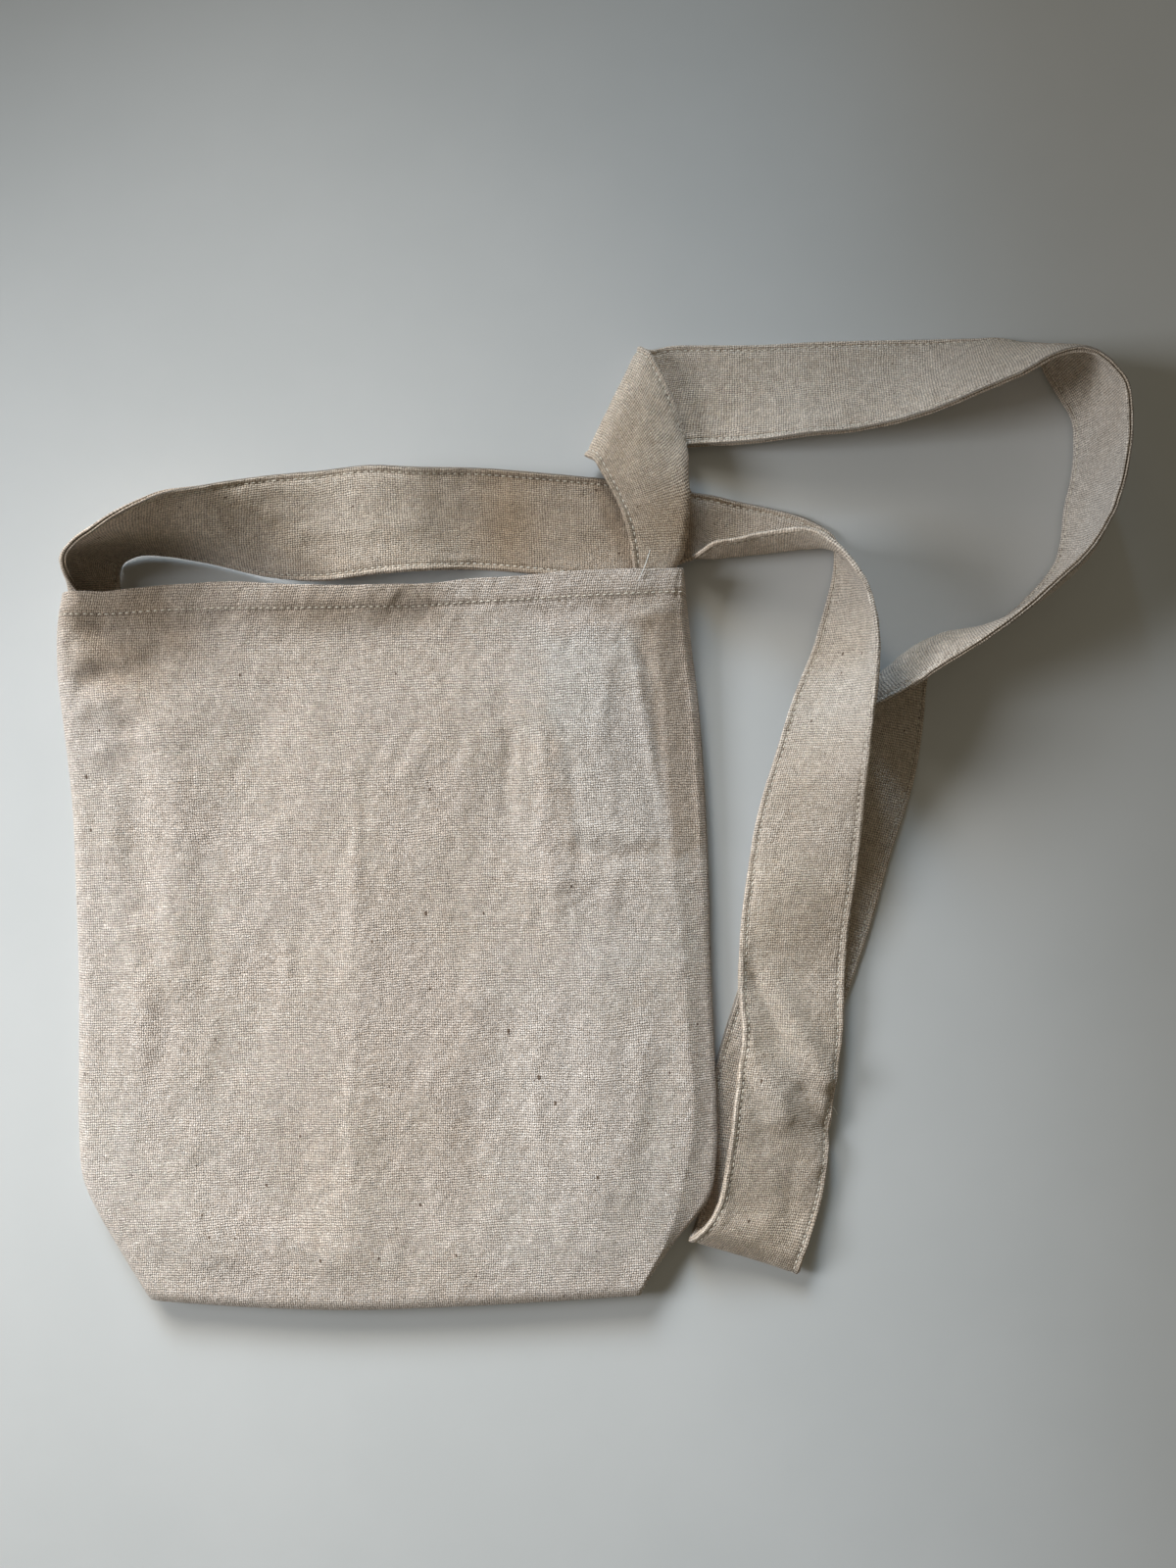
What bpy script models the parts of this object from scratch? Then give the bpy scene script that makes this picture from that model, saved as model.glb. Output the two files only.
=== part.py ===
"""Flat cotton shoulder bag lying on its back, with its long strap thrown round beside it.

Metres, +Z up. The origin is in the middle of the bag's back, on the surface that the bag lies on.
+Y points to the mouth. The tables below are in millimetres, as a tape would read them.
"""
import math

import bmesh
import bpy
from mathutils import Vector

MM = 0.001

# Cloth
CLOTH = 1.3 * MM
HEM_CLOTH = 1.9 * MM
STRAP_CLOTH = 1.6 * MM
HEM_DEPTH = 8.5

# Bag body, in mm
SIDE_HEIGHT = 4.6
SIDE_ROUND = 7.0
SIDE_BEND = math.radians(42)
END_ROUND = 6.0
END_TAPER = 0.035
END_BENDS = (50, 25)
PANEL_COLUMNS = 19
PANEL_FLATNESS = 1.6
ROW_STEP = 11.0
HEM_STEP = 1.2
FOLDS_FADE_SIDE = 12
FOLDS_FADE_END = 18
UNDERSIDE_EDGE = 6
EDGE_RISE = 0.3

# Strap, in mm
STRAP_REST = 0.95
STRAP_STEP = 8.0
STRAP_TURN = math.radians(26)
STRAP_COLUMNS = 8
FOLD_RADIUS = 1.3
FOLD_LEG = 0.55

# The body from its closed end to its mouth, in mm. A row's y is given at its left, middle and
# right. "crease" is where the front panel turns down into the side strip, and "right" is the
# outer side of that strip. "rise" lifts the right side's underside clear of the strap below it,
# and "fullness" rounds the side out, from 0 for a flat strip to 1 for a full bend.
BODY_COLUMNS = ("y_left", "y_mid", "y_right", "left", "crease", "right",
                "h_left", "h_mid", "h_crease", "rise", "fullness")
BODY_ROWS = [
    (-117.7, -123.8, -122.1, -91.0, 86.0, 88.0, 9.0, 9.2, 9.0, 0.0, 0.6),
    (-106.0, -109.0, -108.5, -97.6, 94.0, 98.5, 9.2, 9.8, 9.0, 1.2, 0.3),
    (-91.0, -95.0, -95.0, -105.6, 99.0, 110.0, 9.2, 9.4, 9.2, 3.0, 0.0),
    (-79.0, -80.0, -80.0, -110.2, 102.5, 113.4, 9.0, 9.2, 9.4, 3.2, 0.0),
    (-61.0, -62.0, -62.0, -111.0, 105.5, 114.0, 8.6, 9.2, 9.6, 3.2, 0.0),
    (-38.0, -38.0, -38.0, -110.2, 104.6, 113.9, 8.6, 9.2, 9.4, 1.6, 0.0),
    (-10.0, -10.0, -10.0, -109.2, 103.8, 113.7, 8.8, 9.2, 9.2, 0.0, 0.0),
    (20.0, 20.0, 20.0, -109.1, 101.6, 114.0, 9.0, 9.2, 9.2, 0.0, 0.0),
    (53.0, 53.0, 53.0, -109.4, 100.8, 113.6, 9.2, 9.2, 9.4, 0.0, 0.0),
    (80.0, 80.0, 80.0, -111.3, 100.2, 112.5, 10.4, 9.2, 10.2, 0.0, 0.1),
    (100.0, 100.0, 100.0, -112.5, 98.8, 110.8, 12.0, 9.2, 11.4, 0.0, 0.4),
    (118.0, 117.0, 117.5, -111.6, 101.5, 109.6, 14.6, 9.2, 13.0, 0.0, 0.9),
    (126.6, 124.8, 125.4, -110.8, 104.5, 109.0, 16.0, 9.2, 13.6, 0.0, 1.0),
]

# Where the side strip bends between the crease and its outer edge: how far out, how high on a flat
# strip and on a full one, and how high the underside is, as shares of the strip.
SIDE_COLUMNS = ("out", "flat", "full", "foot")
SIDE_BENDS = [
    (0.5, 0.6, 0.94, 0.1),
    (0.84, 0.36, 0.68, 0.4),
]

# Soft swellings and hollows of the front panel, in mm: where each starts and ends, how far it
# stands up, and its half width.
FOLD_COLUMNS = ("name", "start", "end", "height", "half_width")
FRONT_FOLDS = [
    ("middle crease", (-7, 60), (-17, -118), 0.9, 9),
    ("hollow left of it", (-45, 100), (-48, -105), -1.0, 20),
    ("left swelling", (-78, 92), (-70, -70), 1.0, 18),
    ("hollow under the hem", (-5, 104), (66, 104), -1.3, 15),
    ("right swelling", (72, 92), (58, 20), 1.3, 16),
    ("right hollow", (44, 70), (40, -90), -0.9, 16),
    ("low right swelling", (72, -20), (68, -108), 1.2, 17),
    ("low left corner", (-76, -98), (-48, -112), 1.3, 14),
    ("left wrinkle", (-106, 96), (-72, 76), 0.9, 8),
]

# The strap as it lies, from its left end to its right one, in mm. A section is a bent line from
# edge one, by way of the corner that it bends towards, to edge two. "crease" is 1 for a soft bend,
# more for one that follows the corner closely, and 0 where the strap is doubled over.
STRAP_FIELDS = ("place", "edge_one", "corner", "edge_two", "crease")
STRAP_ROWS = [
    ("left end, sewn in", (-90, 104, 8.0), (-125, 104, 5.6), (-90, 104, 3.0), 0),
    ("left, inside the mouth", (-95, 117, 10.4), (-121, 117, 7), (-90, 117, 3.3), 0),
    ("left of the mouth", (-102, 127, 12.6), (-116, 128.5, 5.4), (-90.5, 128.5, 3.3), 0.5),
    ("left corner", (-98, 133, 30), (-112, 139, 10), (-91, 134.6, 1), 1),
    ("rise", (-85, 142, 36), (-94, 146, 16), (-86, 139.4, 1), 1),
    ("standing", (-68, 151, 35.5), (-75, 148, 16), (-78, 140, 1), 1),
    ("leaning back", (-50, 155.5, 32), (-54, 150, 12), (-58, 136, 1), 1),
    ("lying down", (-33, 159, 25), (-36, 149, 8), (-39, 130.5, 1.5), 1),
    ("near edge lifts", (-17, 163, 16), (-18, 147, 6), (-19, 127.5, 5.4), 1),
    ("raised", (2, 165.5, 12.5), (2, 148, 8), (2, 128.5, 9.5), 1),
    ("raised, far side low", (19, 166, 10), (19, 148, 7.5), (19, 129, 10), 1),
    ("dip", (37, 166.5, 1.8), (37, 149, 0.5), (37, 130.2, 2.6), 1),
    ("by the mouth", (60, 164, 1), (60, 146, 3), (60, 127.5, 2.4), 1),
    ("under the strap's end", (80, 161.5, 1), (80, 143, 2.2), (79, 125.2, 3), 1),
    ("by the corner", (96, 158.8, 1), (95.5, 142, 3), (95, 127.2, 2.4), 1),
    ("edge begins to lift", (104, 157.2, 1), (103.5, 138, 3), (103.2, 127.8, 3.4), 1),
    ("near edge turns up", (111, 155.6, 1), (111, 129.6, 0.8), (111.4, 130.8, 6.4), 1),
    ("low wall", (120, 154, 1), (118, 128.5, 0), (118.5, 134.2, 14.5), 3),
    ("wall", (129, 151.5, 1), (127, 129, 0), (126, 135, 16.5), 3),
    ("wall grows", (142, 148.2, 1), (139.5, 130, 0), (136, 136.3, 19), 3),
    ("wall before the corner", (154.5, 144, 1), (151, 130.5, 0), (150, 135.3, 26), 2),
    ("outer corner", (163.5, 136, 1), (162, 130, 8), (158.5, 127.5, 31), 1),
    ("past the corner", (163, 125.5, 1), (168, 124, 14), (164, 118.5, 34), 1),
    ("front strap starts", (159, 112, 1.6), (172, 111, 13), (167.5, 110, 34), 1),
    ("front strap, top", (155.5, 101.5, 2.5), (171, 101, 9), (169, 99, 34), 1),
    ("at 80", (146.2, 80, 3.2), (163, 79, 9), (168.3, 78.5, 31), 1),
    ("at 60", (139, 60, 3.6), (157, 60, 8), (167, 59.5, 26), 1),
    ("at 40", (132.2, 40, 4), (152, 40, 7), (167, 40.5, 16), 1),
    ("at 20", (128, 20.5, 4.5), (147, 20.5, 6), (165.5, 20.5, 9.5), 1),
    ("at 0", (124.6, 0.5, 6), (144, 1, 7), (162.5, 1, 8), 1),
    ("at -20", (123, -19, 8), (142, -19, 5.5), (160.6, -19, 6), 1),
    ("at -40", (123, -38, 9.5), (141, -39, 7), (159.4, -39, 4.6), 1),
    ("at -60", (119.6, -57.5, 10.5), (138, -58, 7.5), (155.6, -59, 4.2), 1),
    ("at -80", (117, -77, 10.5), (135, -78, 8), (153.3, -79, 4.2), 1),
    ("at -98", (112.4, -96, 10.5), (131, -97, 8), (149.6, -99, 4.6), 1),
    ("bottom fold, above", (105.5, -105, 10), (124, -110, 8), (142.6, -117, 6.2), 1),
    ("bottom fold", (102.6, -108.6, 5.6), (122, -115, 4), (141.3, -122.6, 3.6), 1),
    ("bottom fold, below", (105.2, -105.4, 1.2), (124, -111, 1), (142.5, -117.4, 1), 1),
    ("under strap, bottom", (105.8, -87, 1), (124, -90, 1), (142.8, -93, 1), 1),
    ("under strap, -60", (112.4, -55.5, 1), (131, -60, 1), (149, -64.5, 1), 1),
    ("under strap, -30", (123.2, -23, 1), (141, -29, 1), (158.8, -35, 1), 1),
    ("under strap, 0", (135, 9, 1), (153, 3, 1), (170.8, -3, 1), 1),
    ("under strap, 30", (145, 38.5, 1), (163, 33, 1), (180.8, 27.5, 1), 1),
    ("under strap, 55", (153, 61.5, 1.4), (171, 56, 1), (189, 51, 1), 1),
    ("edge one lifts", (164, 72.5, 4), (176, 78, 0), (193, 72, 1), 1),
    ("turn over", (175, 77, 11), (171, 87, 1), (194.5, 84, 1), 2),
    ("turned", (182, 81, 21), (176, 94, 2), (197, 93.5, 1), 1.5),
    ("standing again", (191.5, 88.5, 30), (191, 103, 8), (203, 100, 1), 1),
    ("right loop, near", (207.5, 98, 35), (211, 104, 14), (217, 103, 1), 1),
    ("right loop, 230", (228, 114.2, 36), (233, 110, 16), (230.5, 112.6, 1), 1),
    ("right loop, 240", (239.5, 125, 36), (246, 120, 16), (241, 124.5, 1), 1),
    ("right loop, 145", (249.4, 144, 36), (254, 144.5, 16), (245.8, 145.5, 1), 1),
    ("right loop, 165", (253.2, 165, 36), (257, 165, 15), (249.6, 163.5, 1), 1),
    ("right loop, 178", (252.4, 179, 34.5), (258, 178.5, 14), (249, 176.5, 1), 1),
    ("far corner", (247.4, 186.4, 33), (256, 190, 13), (245, 184, 1), 1),
    ("far corner, left", (240.4, 190, 32), (247, 201, 12), (240.4, 192.4, 1), 1),
    ("top strap starts", (231.5, 188.6, 31), (235.5, 202, 12), (236, 201.5, 1), 1),
    ("top strap, 225", (224.5, 185.4, 29.5), (228, 201, 9), (228, 205, 1), 1),
    ("top strap, 210", (210, 180, 25.5), (213, 199, 6), (213.5, 206.2, 1), 1),
    ("top strap, 195", (193, 175, 19.5), (195, 193, 4), (196.5, 206.8, 1), 1),
    ("top strap, 175", (176, 172.6, 14), (177, 191, 2.5), (178, 207.2, 1), 1),
    ("top strap, 158", (157.5, 171.3, 12), (158, 190, 2.5), (159, 207.4, 1), 1),
    ("top strap, 137", (137, 170.2, 8.5), (138, 189, 2), (139, 207, 1), 1),
    ("top strap, 113", (112, 170.6, 4.5), (115, 189, 2), (118, 207.6, 1), 1),
    ("towards the diagonal fold", (92, 169.6, 2.4), (100, 189, 2), (107.5, 207.6, 1.4), 1),
    ("diagonal fold, below", (80, 167.4, 2.6), (89.5, 187, 2.4), (99.4, 206.4, 1.9), 1),
    ("diagonal fold", (76, 167.8, 6.2), (86.2, 187, 5.4), (96.6, 206.8, 4.2), 1),
    ("diagonal fold, above", (78.4, 165.4, 10.6), (89, 184.5, 10), (99.6, 203.6, 7), 1),
    ("falling strap, 180", (80.6, 161, 12.4), (94, 176, 14), (104, 193.6, 8.4), 1),
    ("falling strap, 170", (83, 156.4, 13), (102, 168, 16), (108.6, 180.5, 8.8), 1),
    ("side starts to turn in", (85.4, 151.4, 13), (116, 159, 16), (109.8, 168.6, 8.6), 1),
    ("folded, 150", (87.6, 146, 13), (126, 150, 15), (103, 153, 7.6), 0.5),
    ("folded, 140", (89.4, 139.4, 12.6), (127, 140.5, 13), (97, 142, 7), 0),
    ("folded, 132", (90.6, 131.6, 11), (125, 132.2, 10), (93, 132.6, 6.2), 0),
    ("right of the mouth", (91, 125.4, 9.8), (119, 126, 8.2), (91.6, 126, 5.6), 0),
    ("right, inside the mouth", (89.5, 117, 8.8), (120.4, 117, 6.6), (89.5, 117, 4.4), 0),
    ("right end, sewn in", (88, 104, 7.6), (121, 104, 5.2), (88, 104, 2.8), 0),
]


def ease(t):
    t = min(max(t, 0.0), 1.0)
    return t * t * (3 - 2 * t)


def mixed(a, b, t):
    return a + (b - a) * t


def smooth_table(rows, places, where):
    """Reads rows of numbers, which stand at the given places, on a smooth curve."""
    last = len(rows) - 1
    k = 0
    while k < last - 1 and where > places[k + 1]:
        k += 1
    span = places[k + 1] - places[k]
    t = (where - places[k]) / span

    def slope(i, c):
        before, after = max(i - 1, 0), min(i + 1, last)
        if before == i or after == i:
            return (rows[after][c] - rows[before][c]) / (places[after] - places[before])
        down = (rows[i][c] - rows[before][c]) / (places[i] - places[before])
        up = (rows[after][c] - rows[i][c]) / (places[after] - places[i])
        share = (places[after] - places[i]) / (places[after] - places[before])
        return down * share + up * (1 - share)

    read = []
    for c in range(len(rows[0])):
        a, b = rows[k][c], rows[k + 1][c]
        va, vb = slope(k, c) * span, slope(k + 1, c) * span
        read.append((2 * t**3 - 3 * t**2 + 1) * a + (t**3 - 2 * t**2 + t) * va
                    + (3 * t**2 - 2 * t**3) * b + (t**3 - t**2) * vb)
    return read


def fabric(name, colour):
    material = bpy.data.materials.new(name)
    material.use_nodes = True
    shader = material.node_tree.nodes["Principled BSDF"]
    shader.inputs["Base Color"].default_value = (*colour, 1.0)
    shader.inputs["Roughness"].default_value = 0.9
    shader.inputs["Metallic"].default_value = 0.0
    return material


def add_cloth(collection, name, points, faces, material):
    mesh = bpy.data.meshes.new(name)
    work = bmesh.new()
    corners = [work.verts.new(Vector(p) * MM) for p in points]
    for face in faces:
        work.faces.new([corners[i] for i in face])
    work.to_mesh(mesh)
    work.free()
    mesh.shade_smooth()
    mesh.set_sharp_from_angle(angle=math.radians(50))
    cloth = bpy.data.objects.new(name, mesh)
    cloth.data.materials.append(material)
    collection.objects.link(cloth)
    return cloth


def thicken(cloth, thickness, offset):
    solid = cloth.modifiers.new("cloth", "SOLIDIFY")
    solid.thickness = thickness
    solid.offset = offset
    solid.use_even_offset = True
    solid.use_rim = True
    return solid


def front_relief(x, y):
    """How far the front panel's folds lift it at a place, in mm."""
    lift = 0.0
    here = Vector((x, y))
    for row in FRONT_FOLDS:
        fold = dict(zip(FOLD_COLUMNS, row))
        start = Vector(fold["start"])
        along = Vector(fold["end"]) - start
        t = (here - start).dot(along) / along.length_squared
        off = (here - start - along * min(max(t, 0.0), 1.0)).length / fold["half_width"]
        lift += fold["height"] * math.exp(-off * off)
    return lift


def body_section(row):
    """One ring of the body: its upper line and its lower line, both from left to right, in mm."""
    at = dict(zip(BODY_COLUMNS, row))
    left, crease, right = at["left"], at["crease"], at["right"]
    panel_left = left + SIDE_ROUND
    closed_end = BODY_ROWS[0][1]
    rise = max(at["rise"], 0.0)

    def y_of(x):
        t = (x - left) / (right - left)
        if t < 0.5:
            return mixed(at["y_left"], at["y_mid"], math.sin(t * math.pi))
        return mixed(at["y_right"], at["y_mid"], math.sin(t * math.pi))

    def top_of(x):
        t = (x - left) / (crease - left)
        side = mixed(at["h_left"], at["h_crease"], t)
        return mixed(side, at["h_mid"], math.sin(math.pi * t) ** PANEL_FLATNESS)

    def under_of(x):
        inner = crease - UNDERSIDE_EDGE
        return rise * max(x - inner, 0.0) / (right - inner)

    x = left + SIDE_ROUND * (1 - math.cos(SIDE_BEND))
    upper = [(left, y_of(left), SIDE_HEIGHT)]
    upper.append((x, y_of(x), mixed(SIDE_HEIGHT, top_of(x), math.sin(SIDE_BEND))))
    lower = [upper[0], (x, y_of(x), SIDE_HEIGHT * (1 - math.sin(SIDE_BEND)))]
    for k in range(PANEL_COLUMNS + 1):
        x = mixed(panel_left, crease, k / PANEL_COLUMNS)
        from_side = min(x - panel_left, crease - x) / FOLDS_FADE_SIDE
        from_end = (at["y_mid"] - closed_end) / FOLDS_FADE_END
        z = top_of(x) + front_relief(x, y_of(x)) * ease(from_side) * ease(from_end)
        upper.append((x, y_of(x), z))
        lower.append((x, y_of(x), under_of(x)))
    for row in SIDE_BENDS:
        bend = dict(zip(SIDE_COLUMNS, row))
        x = mixed(crease, right, bend["out"])
        up = mixed(bend["flat"], bend["full"], at["fullness"])
        upper.append((x, y_of(x), mixed(SIDE_HEIGHT, at["h_crease"], up)))
        lower.append((x, y_of(x), max(under_of(x), SIDE_HEIGHT * bend["foot"])))
    upper.append((right, y_of(right), SIDE_HEIGHT + EDGE_RISE * rise))
    lower.append(upper[-1])
    return upper, lower


def body_rings():
    """The body's rings from its closed end to its mouth, each as an upper and a lower line."""
    places = [row[1] for row in BODY_ROWS]
    ends = []
    for degrees in END_BENDS:
        back = END_ROUND * math.sin(math.radians(degrees))
        close = 1 - math.cos(math.radians(degrees))
        narrow = 1 - END_TAPER * math.sin(math.radians(degrees))
        ends.append([[(x * narrow, y - back, mixed(z, SIDE_HEIGHT, close)) for x, y, z in line]
                     for line in body_section(BODY_ROWS[0])])
    mouth = places[-1]
    hem_start = mouth - HEM_DEPTH
    steps = round((hem_start - places[0]) / ROW_STEP)
    marks = [mixed(places[0], hem_start, k / steps) for k in range(steps + 1)]
    marks += [hem_start + HEM_STEP, mouth]
    return ends + [body_section(smooth_table(BODY_ROWS, places, mark)) for mark in marks]


def build_body(collection, material):
    rings = body_rings()
    across = len(rings[0][0])
    around = 2 * across - 2
    points = [point for upper, lower in rings for point in upper + lower[-2:0:-1]]
    faces = []
    for ring in range(len(rings) - 1):
        for k in range(around):
            here, beside = ring * around + k, ring * around + (k + 1) % around
            faces.append([here, beside, beside + around, here + around])
    for k in range(across - 1):
        below, beside = -k % around, -(k + 1) % around
        corners = (k, below, beside, k + 1)
        faces.append([c for i, c in enumerate(corners) if c not in corners[:i]])
    body = add_cloth(collection, "bag_body", points, faces, material)
    hem = body.vertex_groups.new(name="hem")
    hem.add(list(range(len(points) - 2 * around, len(points))), 1.0, "REPLACE")
    solid = thicken(body, HEM_CLOTH, -1.0)
    solid.vertex_group = "hem"
    solid.thickness_vertex_group = CLOTH / HEM_CLOTH
    return body


def folded_section(one, nose, two):
    """A strap doubled over: straight from edge one to the fold, round it, and straight back."""
    out = (nose - (one + two) / 2).normalized()
    across = one - two
    across = (across - out * across.dot(out)).normalized()
    middle = nose - out * FOLD_RADIUS
    bends = [middle + (across * math.cos(angle) + out * math.sin(angle)) * FOLD_RADIUS
             for angle in (math.pi * k / 4 for k in range(5))]
    return [one, one.lerp(bends[0], FOLD_LEG), *bends, two.lerp(bends[-1], FOLD_LEG), two]


def strap_section(row):
    """Points across the strap from edge one to edge two, from a row's nine numbers and crease."""
    one, corner, two = Vector(row[0:3]), Vector(row[3:6]), Vector(row[6:9])
    pull, doubled = max(row[9], 1.0), 1 - min(max(row[9], 0.0), 1.0)
    line = []
    for k in range(STRAP_COLUMNS + 1):
        t = k / STRAP_COLUMNS
        a, b, c = (1 - t) ** 2, 2 * t * (1 - t) * pull, t * t
        line.append((one * a + corner * b + two * c) / (a + b + c))
    if doubled:
        folded = folded_section(one, line[STRAP_COLUMNS // 2], two)
        line = [soft.lerp(tight, doubled) for soft, tight in zip(line, folded)]
    for point in line:
        point.z = max(point.z, STRAP_REST)
    return line


def strap_sections():
    rows = []
    for row in STRAP_ROWS:
        at = dict(zip(STRAP_FIELDS, row))
        rows.append((*at["edge_one"], *at["corner"], *at["edge_two"], at["crease"]))
    middles = [strap_section(row)[STRAP_COLUMNS // 2] for row in rows]
    places, marks = [0.0], [0.0]
    for k in range(1, len(rows)):
        places.append(places[-1] + (middles[k] - middles[k - 1]).length)
    for k in range(1, len(rows)):
        runs = [(Vector(rows[k][c:c + 3]) - Vector(rows[k - 1][c:c + 3])).length for c in (0, 6)]
        turn = 0.0
        for i in (k - 1, k):
            if 0 < i < len(rows) - 1:
                arrive, leave = middles[i] - middles[i - 1], middles[i + 1] - middles[i]
                turn = max(turn, arrive.angle(leave))
        steps = max(1, round(max(*runs, places[k] - places[k - 1]) / STRAP_STEP),
                    round(turn / STRAP_TURN))
        for s in range(1, steps + 1):
            marks.append(mixed(places[k - 1], places[k], s / steps))
    return [strap_section(smooth_table(rows, places, mark)) for mark in marks]


def build_strap(collection, material):
    sections = strap_sections()
    across = STRAP_COLUMNS + 1
    points = [point for section in sections for point in section]
    faces = []
    for row in range(len(sections) - 1):
        for k in range(STRAP_COLUMNS):
            a = row * across + k
            faces.append([a, a + across, a + across + 1, a + 1])
    strap = add_cloth(collection, "shoulder_strap", points, faces, material)
    thicken(strap, STRAP_CLOTH, 0.0)
    return strap


def main():
    for old in list(bpy.data.objects):
        bpy.data.objects.remove(old, do_unlink=True)
    collection = bpy.data.collections.new("shoulder_bag")
    bpy.context.scene.collection.children.link(collection)
    build_body(collection, fabric("bag canvas", (0.71, 0.63, 0.52)))
    build_strap(collection, fabric("strap canvas", (0.74, 0.65, 0.53)))


main()
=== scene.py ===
"""Looks for the flat cotton shoulder bag: its canvas, hem, stitched strap, table and light.

The body and the strap are built again as fine cloth over the solids' own tables, in millimetres.
"""

import math

import bpy
import numpy as np
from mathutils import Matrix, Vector


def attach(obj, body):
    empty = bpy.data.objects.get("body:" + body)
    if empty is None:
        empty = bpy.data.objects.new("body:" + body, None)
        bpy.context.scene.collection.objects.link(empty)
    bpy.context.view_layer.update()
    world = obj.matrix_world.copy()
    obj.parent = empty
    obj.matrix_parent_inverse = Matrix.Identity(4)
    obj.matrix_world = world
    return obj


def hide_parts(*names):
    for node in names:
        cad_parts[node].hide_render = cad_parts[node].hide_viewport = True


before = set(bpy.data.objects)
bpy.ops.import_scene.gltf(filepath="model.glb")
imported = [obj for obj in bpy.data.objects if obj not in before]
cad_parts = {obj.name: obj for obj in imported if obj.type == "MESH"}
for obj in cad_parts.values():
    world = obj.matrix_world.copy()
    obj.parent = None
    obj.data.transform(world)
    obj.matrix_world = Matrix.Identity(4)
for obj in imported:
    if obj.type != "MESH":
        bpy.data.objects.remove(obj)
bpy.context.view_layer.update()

MM = 0.001
RNG = np.random.default_rng(7)

# The camera, as the photograph was taken: straight down, a little turned. Its place is in mm
CAMERA_PLACE = (72.6, 52.8, 404.0)
CAMERA_TURN = -2.0
CAMERA_LENS = 25.97

# The windows, in metres: name, place, target, size, watts, colour and spread in degrees
WINDOWS = [
    ("window_near", (-0.365, 0.48, 0.34), (-0.15, -0.17, 0), (0.66, 0.255), 0.61, (1, 0.95, 0.86), 38),
    ("window_left", (-0.73, 0.11, 0.45), (0.35, -0.09, 0), (0.34, 0.29), 1.31, (0.88, 0.93, 0.98), 80),
    ("window_far", (-0.145, 0.605, 0.505), (0.025, -0.6, 0), (0.57, 0.7), 0.65, (0.6, 0.8, 1), 19.3),
]
ROOM_COLOUR = (1, 0.9, 0.68, 1)
ROOM_STRENGTH = 0.145

# Cloth, in mm
WARP_PITCH = 0.76
WEFT_PITCH = 0.86
CLOTH_THICK = 1.0
HEM_DEPTH = 8.5
HEM_THICK = 0.45
HEM_PULL = 0.42
HEM_PUCKER = 0.16
HEM_SEAM_IN = 0.6
STITCH_PITCH = 2.4
STITCH_EDGE = 2.3
STITCH_LENGTH = 1.7
STITCH_RADIUS = 0.23
STITCH_SIDES = 6

# A stitch's rings: how far from its middle, as a share of half its length, and how thick
STITCH_RINGS = [(-1, 0.02), (-0.82, 0.62), (-0.4, 1), (0.4, 1), (0.82, 0.62), (1, 0.02)]

# How much brighter and darker the streaks of single threads are, the tone's paler colour with painted
# light and its browner one with painted shade, and the painted shade in the strap's groove
STREAK = 0.16
PALE_AND_PAINTED_LIGHT = (0.96, 0.94, 0.91)
BROWN_AND_PAINTED_SHADE = (0.62, 0.54, 0.44)
GROOVE_PAINTED_SHADE = -0.45

# Bag body, in mm, as the solids have it
SIDE_HEIGHT = 4.6
SIDE_ROUND = 7.0
END_ROUND = 6.0
END_TAPER = 0.035
PANEL_FLATNESS = 1.6
FOLDS_FADE_SIDE = 12
FOLDS_FADE_END = 18
UNDERSIDE_EDGE = 6
EDGE_RISE = 0.3
SIDE_RIDGE = 0.55
SIDE_RIDGE_IN = 2.6
SIDE_GROOVE = 0.45
PANEL_COLUMNS = 170
SIDE_COLUMNS_FINE = 16
BODY_REST = 0.15
END_BENDS = (78, 66, 54, 42, 30, 18, 8)
UNDER_COLUMNS = 60
BODY_STEP = 1.5

# Slow unevenness of the front panel: height, stretch along the bag, length and random seed
PANEL_WAVES = [(0.34, 0.55, 26, 3), (0.15, 0.7, 11, 4), (0.05, 1, 4.5, 6)]

# Strap, in mm
STRAP_REST = 0.95
STRAP_FLOOR = 0.12
STRAP_THICK = 1.5
STRAP_COLUMNS = 26
STRAP_STEP = 2.0
FOLD_RADIUS = 1.3
FOLD_LEG = 0.55
STRAP_WIDTH = 38.0
STRAP_PULL = 0.32
STRAP_PUCKER = 0.12
RIM_OUT = 0.62
LIP_OUT = 0.2
GROOVE_DEPTH = 1.6
GROOVE_ACROSS = (-0.2, 0.6, 2.2, 3.8, 4.2)

# Where across the strap its faces have points, closer by the stitches and the edges
STRAP_PLACES = [0, 0.5, 1.1, 1.7, 2.3, 2.9, 3.6, 4.6, *range(6, 33, 2),
                33.4, 34.4, 35.1, 35.7, 36.3, 36.9, 37.5, 38]

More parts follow.
